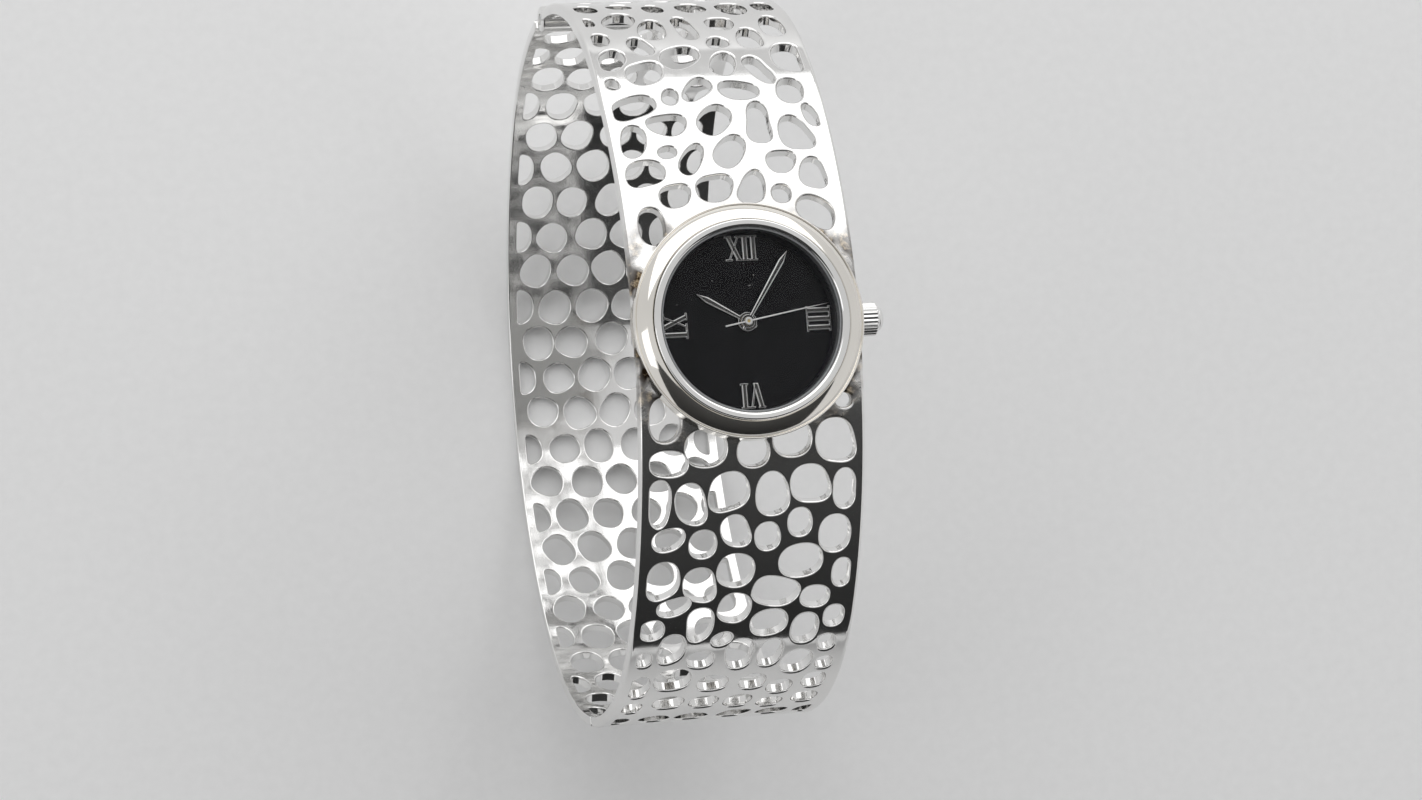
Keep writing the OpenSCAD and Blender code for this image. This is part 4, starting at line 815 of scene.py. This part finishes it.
crystal = {"radius": 7.76, "foot": 5.37, "edge": 6.27, "rise": 0.08, "domeSteps": 12}
profile = [(0, crystal["foot"], 0), (crystal["radius"], crystal["foot"], 0.04),
           (crystal["radius"], crystal["edge"], 0.12)]
for i in range(1, crystal["domeSteps"] + 1):
    inwards = 1 - i / crystal["domeSteps"]
    profile.append((crystal["radius"] * inwards, crystal["edge"] + crystal["rise"] * (1 - inwards ** 2), 0))
finishPiece("domed_glass", lathe(roundCorners(profile), closed=False), "glass", "watch", "crystal")

backPlate = {"radius": 8.95, "thick": 0.6, "lipOut": 8.2, "lipIn": 7.95, "lipTop": 1.2,
             "grooves": [(5.2, 5.3, 5.5, 5.6, 0.06), (7.9, 8.0, 8.12, 8.2, 0.05)]}
profile = [(0, 0, 0)]
for start, floorStart, floorEnd, end, deep in backPlate["grooves"]:
    profile += [(start, 0, 0), (floorStart, deep, 0), (floorEnd, deep, 0), (end, 0, 0)]
profile += [(backPlate["radius"], 0, 0.22), (backPlate["radius"], backPlate["thick"], 0.05),
            (backPlate["lipOut"], backPlate["thick"], 0), (backPlate["lipOut"], backPlate["lipTop"], 0.04),
            (backPlate["lipIn"], backPlate["lipTop"], 0.04), (backPlate["lipIn"], backPlate["thick"], 0),
            (0, backPlate["thick"], 0)]
finishPiece("back_plate", lathe(roundCorners(profile), closed=False), "satin", "watch", "case_back")
print("watch head made")


# Hinge: rolled knuckles on both halves and a pin with domed ends

def onHinge(name, finish, body, node, profile, steps, cornerSteps=5, closed=True):
    bm = place(lathe(roundCorners(profile, cornerSteps), steps, closed), alongX(0, hingeY, joinZ))
    finishPiece(name, bm, finish, body, node)


def knuckle(name, body, node, start, end, bore):
    profile = [(bore, start, 0), (hinge["knuckle"], start, hinge["round"]),
               (hinge["knuckle"], end, hinge["round"]), (bore, end, 0)]
    onHinge(name, "bandSteel", body, node, profile, 64)


hingeEnd, middleEnd = hinge["length"] / 2, hinge["middle"] / 2
fixedBore, runningBore = hinge["pin"] + hinge["pressed"], hinge["pin"] + hinge["running"]
knuckle("knuckle_left", "watch", "front_band", -hingeEnd, -middleEnd - hinge["gap"], fixedBore)
knuckle("knuckle_right", "watch", "front_band", middleEnd + hinge["gap"], hingeEnd, fixedBore)
knuckle("knuckle_middle", "back_half", "back_band", -middleEnd, middleEnd, runningBore)
profile = [(0, -hingeEnd, 0), (hinge["pin"], -hingeEnd, hinge["pinRound"]),
           (hinge["pin"], hingeEnd, hinge["pinRound"]), (0, hingeEnd, 0)]
onHinge("domed_pin", "satin", "watch", "hinge_pin", profile, 48, 6, False)


def softened(name, node, body, size):  # a copy of a plain CAD part with eased edges
    bm = bmesh.new()
    bm.from_mesh(nodes[node].data)
    bmesh.ops.remove_doubles(bm, verts=bm.verts, dist=0.002 * mm)
    bmesh.ops.dissolve_limit(bm, angle_limit=math.radians(2), verts=bm.verts, edges=bm.edges)
    edges = [e for e in bm.edges if e.is_manifold and e.calc_face_angle() > math.radians(40)]
    bmesh.ops.bevel(bm, geom=edges, offset=size * mm, offset_type="OFFSET", segments=3, profile=0.5,
                    affect="EDGES", clamp_overlap=True, material=-1)
    finishPiece(name, bm, "satin", body, node)


softened("clasp_housing", "clasp_box", "watch", 0.08)
softened("clasp_spring", "clasp_tongue", "back_half", 0.06)
print("hinge and clasp made")


# Numerals and hands: mirror faces painted dark as a painted reflection of dark surroundings, inside
# bevelled edges painted bright as a painted highlight

dialMarks = {"height": 2.15, "rise": 0.2, "thick": 0.42, "thin": 0.15, "serif": 0.26, "endSerif": 0.6,
             "tenSpread": 0.46, "fiveSpread": 0.45, "centre": 6.36, "dialZ": 4.41, "bevel": 0.12,
             "fineBevel": 0.05, "bevelDrop": 0.3}


def raised(bm, points, low, high, bevel):  # a flat shape stood up, with a shallow bevelled edge
    corners = [bm.verts.new((x * mm, y * mm, low * mm)) for x, y in points]
    base = bm.faces.new(corners)
    lifted = bmesh.ops.extrude_face_region(bm, geom=[base])["geom"]
    top = [f for f in lifted if isinstance(f, bmesh.types.BMFace)][0]
    drop = dialMarks["bevelDrop"] * bevel
    bmesh.ops.translate(bm, vec=(0, 0, (high - low - drop) * mm), verts=top.verts)
    bmesh.ops.inset_region(bm, faces=[top], thickness=bevel * mm, depth=0)
    bmesh.ops.translate(bm, vec=(0, 0, drop * mm), verts=top.verts)


def bar(x0, x1, width, low=0.0, high=dialMarks["height"]):
    return [(x0 - width / 2, low), (x0 + width / 2, low), (x1 + width / 2, high), (x1 - width / 2, high)]


def topSerif(x, width):
    return bar(x, x, width, dialMarks["height"] - dialMarks["thin"])


def serifs(x, width):
    return [bar(x, x, width, 0, dialMarks["thin"]), topSerif(x, width)]


def strokeOne(x):
    return [bar(x, x, dialMarks["thick"])], serifs(x, dialMarks["thick"] + dialMarks["serif"])


def strokeTen(x):
    left, right = x - dialMarks["tenSpread"], x + dialMarks["tenSpread"]
    ends = serifs(left, dialMarks["endSerif"]) + serifs(right, dialMarks["endSerif"])
    return [bar(right, left, dialMarks["thick"])], [bar(left, right, dialMarks["thin"])] + ends


def strokeFive(x):
    left, right = x - dialMarks["fiveSpread"], x + dialMarks["fiveSpread"]
    ends = [topSerif(left, dialMarks["endSerif"]), topSerif(right, dialMarks["endSerif"])]
    return [bar(x, left, dialMarks["thick"])], [bar(x, right, dialMarks["thin"])] + ends


def numeral(hourName, hour, glyphs):
    bm = bmesh.new()
    for thick, thin in glyphs:
        for group, bevel in ((thick, dialMarks["bevel"]), (thin, dialMarks["fineBevel"])):
            for shape in group:
                raised(bm, shape, dialMarks["dialZ"], dialMarks["dialZ"] + dialMarks["rise"], bevel)
    foot = (0, (dialMarks["centre"] - dialMarks["height"] / 2) * mm, 0)
    stand = Matrix.Rotation(math.radians(-30 * hour), 4, "Z") @ Matrix.Translation(foot)
    bmesh.ops.recalc_face_normals(bm, faces=bm.faces)
    # bevelled edges painted bright as painted highlight, flat tops painted dark as painted reflection
    finishPiece("applied_" + hourName, place(bm, stand), "handSteelPaintedBright", "watch", "numeral_" + hourName,
                sharp=20, paintedReflectionTops="paintedReflectionFace")


numeral("twelve", 0, [strokeTen(-0.68), strokeOne(0.3), strokeOne(1.05)])
numeral("three", 3, [strokeOne(-0.75), strokeOne(0), strokeOne(0.75)])
numeral("six", 6, [strokeFive(-0.3), strokeOne(0.72)])
numeral("nine", 9, [strokeOne(-0.85), strokeTen(0.25)])

# Each hand: its angle on the dial, its blade and tail from the hub outwards, and its hub
# faces: the flat tops' finish, painted dark as painted reflection, or none
hands = {
    "hour": {"angle": 300.5, "low": 4.65, "high": 4.75, "root": 0.28, "gap": 0.7, "tail": 0.9,
             "wide": 0.5, "wideAt": 4.0, "length": 5.0, "bevel": 0.1, "bore": 0.61, "hub": 0.82,
             "hubTop": 4.75, "hubRound": 0.04, "faces": "paintedReflectionFace"},
    "minute": {"angle": 33.5, "low": 4.85, "high": 4.95, "root": 0.26, "gap": 0.46, "tail": 0.8,
               "wide": 0.48, "wideAt": 6.11, "length": 7.1, "bevel": 0.1, "bore": 0.37, "hub": 0.6,
               "hubTop": 4.95, "hubRound": 0.04, "faces": "paintedReflectionFace"},
    "second": {"angle": 80, "low": 5.03, "high": 5.13, "root": 0.14, "gap": 0.2, "tail": 2.1,
               "wide": 0.1, "wideAt": 5.11, "length": 7.3, "bevel": 0.03, "bore": 0.14, "hub": 0.35,
               "hubTop": 5.21, "hubRound": 0.06, "faces": None}}


def handHub(bm, hand):
    profile = [(hand["bore"], hand["low"], 0), (hand["hub"], hand["low"], 0),
               (hand["hub"], hand["hubTop"], hand["hubRound"]),
               (hand["bore"], hand["hubTop"], hand["hubRound"] / 2)]
    ring = lathe(roundCorners(profile, 4), 64)
    mesh = bpy.data.meshes.new("hub")
    ring.to_mesh(mesh)
    ring.free()
    bm.from_mesh(mesh)
    bpy.data.meshes.remove(mesh)


for kind, hand in hands.items():
    bm = bmesh.new()
    blade = [(-hand["root"] / 2, hand["gap"]), (hand["root"] / 2, hand["gap"]),
             (hand["wide"] / 2, hand["wideAt"]), (0, hand["length"]), (-hand["wide"] / 2, hand["wideAt"])]
    tail = bar(0, 0, hand["root"], -hand["tail"], -hand["gap"])
    for shape in (blade, tail):
        raised(bm, shape, hand["low"], hand["high"], hand["bevel"])
    handHub(bm, hand)
    bmesh.ops.recalc_face_normals(bm, faces=bm.faces)
    place(bm, Matrix.Rotation(math.radians(-hand["angle"]), 4, "Z"))
    # bevelled edges painted bright as painted highlight, flat tops painted dark as painted reflection where
    # the hand has them
    finishPiece(kind + "_blade", bm, "handSteelPaintedBright", kind + "_hand", kind + "_hand", sharp=20,
                paintedReflectionTops=hand["faces"])
print("numerals and hands made")


# Crown: fluted body, chamfered step and a domed end

crown = {"radius": 1.5, "start": 10.35, "side": 1.632, "step": 0.22, "cap": 1.08, "length": 2.4,
         "flutes": 24, "perFlute": 8, "flute": 0.1, "cup": 1.15, "cupDepth": 1.3, "axisZ": 2.45,
         "edgeSoft": 0.04, "domeRings": 9}


def crownRing(bm, x, radius, depth):
    ring = []
    count = crown["flutes"] * crown["perFlute"]
    for i in range(count):
        wave = abs(math.cos(math.pi * i / crown["perFlute"]))
        r = radius - depth * (1 - wave) ** 0.8
        a = 2 * math.pi * i / count
        ring.append(bm.verts.new((x * mm, r * math.cos(a) * mm, (crown["axisZ"] + r * math.sin(a)) * mm)))
    return ring


bm = bmesh.new()
x0, x1 = crown["start"], crown["start"] + crown["side"]
x2, x3 = x1 + crown["step"], crown["start"] + crown["length"]
soft, radius, cap = crown["edgeSoft"], crown["radius"], crown["cap"]
stations = [(x0 + crown["cupDepth"], crown["cup"], 0), (x0, crown["cup"], 0),
            (x0, radius - 3 * soft, 0.02), (x0 + soft, radius - soft, 0.06),
            (x0 + 3 * soft, radius, crown["flute"]), (x1 - 0.1, radius, crown["flute"]),
            (x1 - 0.03, radius - 0.03, 0.07), (x1 + 0.02, radius - 0.09, 0),
            (x2 - 0.03, cap + 0.06, 0), (x2, cap, 0)]
for i in range(1, crown["domeRings"]):
    a = math.pi / 2 * i / crown["domeRings"]
    stations.append((x2 + (x3 - x2) * math.sin(a), cap * math.cos(a), 0))
rings = [crownRing(bm, *station) for station in stations]
for first, second in zip(rings, rings[1:]):
    for i in range(len(first)):
        j = (i + 1) % len(first)
        bm.faces.new((first[i], first[j], second[j], second[i]))
for ring, x in ((rings[0], x0 + crown["cupDepth"]), (rings[-1], x3)):
    pole = bm.verts.new((x * mm, 0, crown["axisZ"] * mm))
    for i in range(len(ring)):
        bm.faces.new((ring[i], ring[(i + 1) % len(ring)], pole))
bmesh.ops.recalc_face_normals(bm, faces=bm.faces)
finishPiece("fluted_crown", bm, "crownSteel", "crown", "crown", sharp=40)
print("crown made")


# Camera, floor and light

camera = {"yaw": 14.99, "pitch": 5.705, "roll": 4.551, "distance": 335.58, "offset": (3.049, 6.654),
          "lens": 99.46, "dialZ": 4.4}
yaw, pitch, roll = (math.radians(camera[k]) for k in ("yaw", "pitch", "roll"))
back = Vector((-math.sin(yaw) * math.cos(pitch), -math.sin(pitch), math.cos(yaw) * math.cos(pitch)))
flatRight = Vector((math.cos(yaw), 0, math.sin(yaw)))
flatRight = (flatRight - back * flatRight.dot(back)).normalized()
flatUp = back.cross(flatRight)
right = math.cos(roll) * flatRight - math.sin(roll) * flatUp
up = math.sin(roll) * flatRight + math.cos(roll) * flatUp
spot = (Vector((0, 0, camera["dialZ"])) - camera["offset"][0] * right - camera["offset"][1] * up
        + camera["distance"] * back)
view = bpy.data.objects.new("photo_view", bpy.data.cameras.new("photo_view"))
scene.collection.objects.link(view)
view.matrix_world = Matrix.Translation(spot * mm) @ Matrix((right, up, back)).transposed().to_4x4()
view.data.lens = camera["lens"]
view.data.clip_start = 0.01
scene.camera = view

studio = {"floor": 2.0, "paper": (0.93, 0.93, 0.93), "fibre": (0.9, 0.9, 0.9), "fibreScale": 900,
          "paperRough": 0.9, "world": (0.68, 0.68, 0.68, 1)}
softboxes = {"tall_softbox": {"at": (0.0, 0.52, 0.4), "size": (1.1, 0.75), "watts": 2.4},
             "side_softbox": {"at": (-0.62, -0.1, 0.45), "size": (0.3, 0.5), "watts": 0.35}}
darkCard = {"at": (0.0, -0.42, 0.34), "size": (1.1, 0.86), "colour": (0.02, 0.02, 0.02)}


def faceWatch(thing, at):
    scene.collection.objects.link(thing)
    thing.location = at
    thing.rotation_euler = Vector(at).to_track_quat("Z", "Y").to_euler()


def flatSheet(name, width, depth):
    bm = bmesh.new()
    bmesh.ops.create_grid(bm, x_segments=1, y_segments=1, size=0.5)
    bmesh.ops.scale(bm, vec=(width, depth, 1), verts=bm.verts)
    mesh = bpy.data.meshes.new(name)
    bm.to_mesh(mesh)
    bm.free()
    return bpy.data.objects.new(name, mesh)


def whitePaper():
    mat, n, links, shader, coords = newMaterial("whitePaper")
    fibre = noiseNode(n, links, coords, studio["fibreScale"], 4.0, 0.6)
    tone = rampNode(n, links, fibre, [(0.3, studio["fibre"]), (0.7, studio["paper"])])
    feed(links, shader, {"Base Color": tone, "Roughness": studio["paperRough"]})
    return mat


floor = flatSheet("paper_floor", 2 * studio["floor"], 2 * studio["floor"])
floor.location = (0, 0, cadBox[0][2])
floor.data.materials.append(whitePaper())
scene.collection.objects.link(floor)

card = flatSheet("dark_card", *darkCard["size"])  # a black card that the steel mirrors, out of view
card.data.materials.append(moulded("dark_card", darkCard["colour"]))
faceWatch(card, darkCard["at"])

for name, box in softboxes.items():
    light = bpy.data.lights.new(name, "AREA")
    light.shape = "RECTANGLE"
    light.size, light.size_y = box["size"]
    light.energy = box["watts"]
    faceWatch(bpy.data.objects.new(name, light), box["at"])

world = bpy.data.worlds.new("studio")
scene.world = world
world.use_nodes = True
world.node_tree.nodes["Background"].inputs["Color"].default_value = studio["world"]
print("stage set")
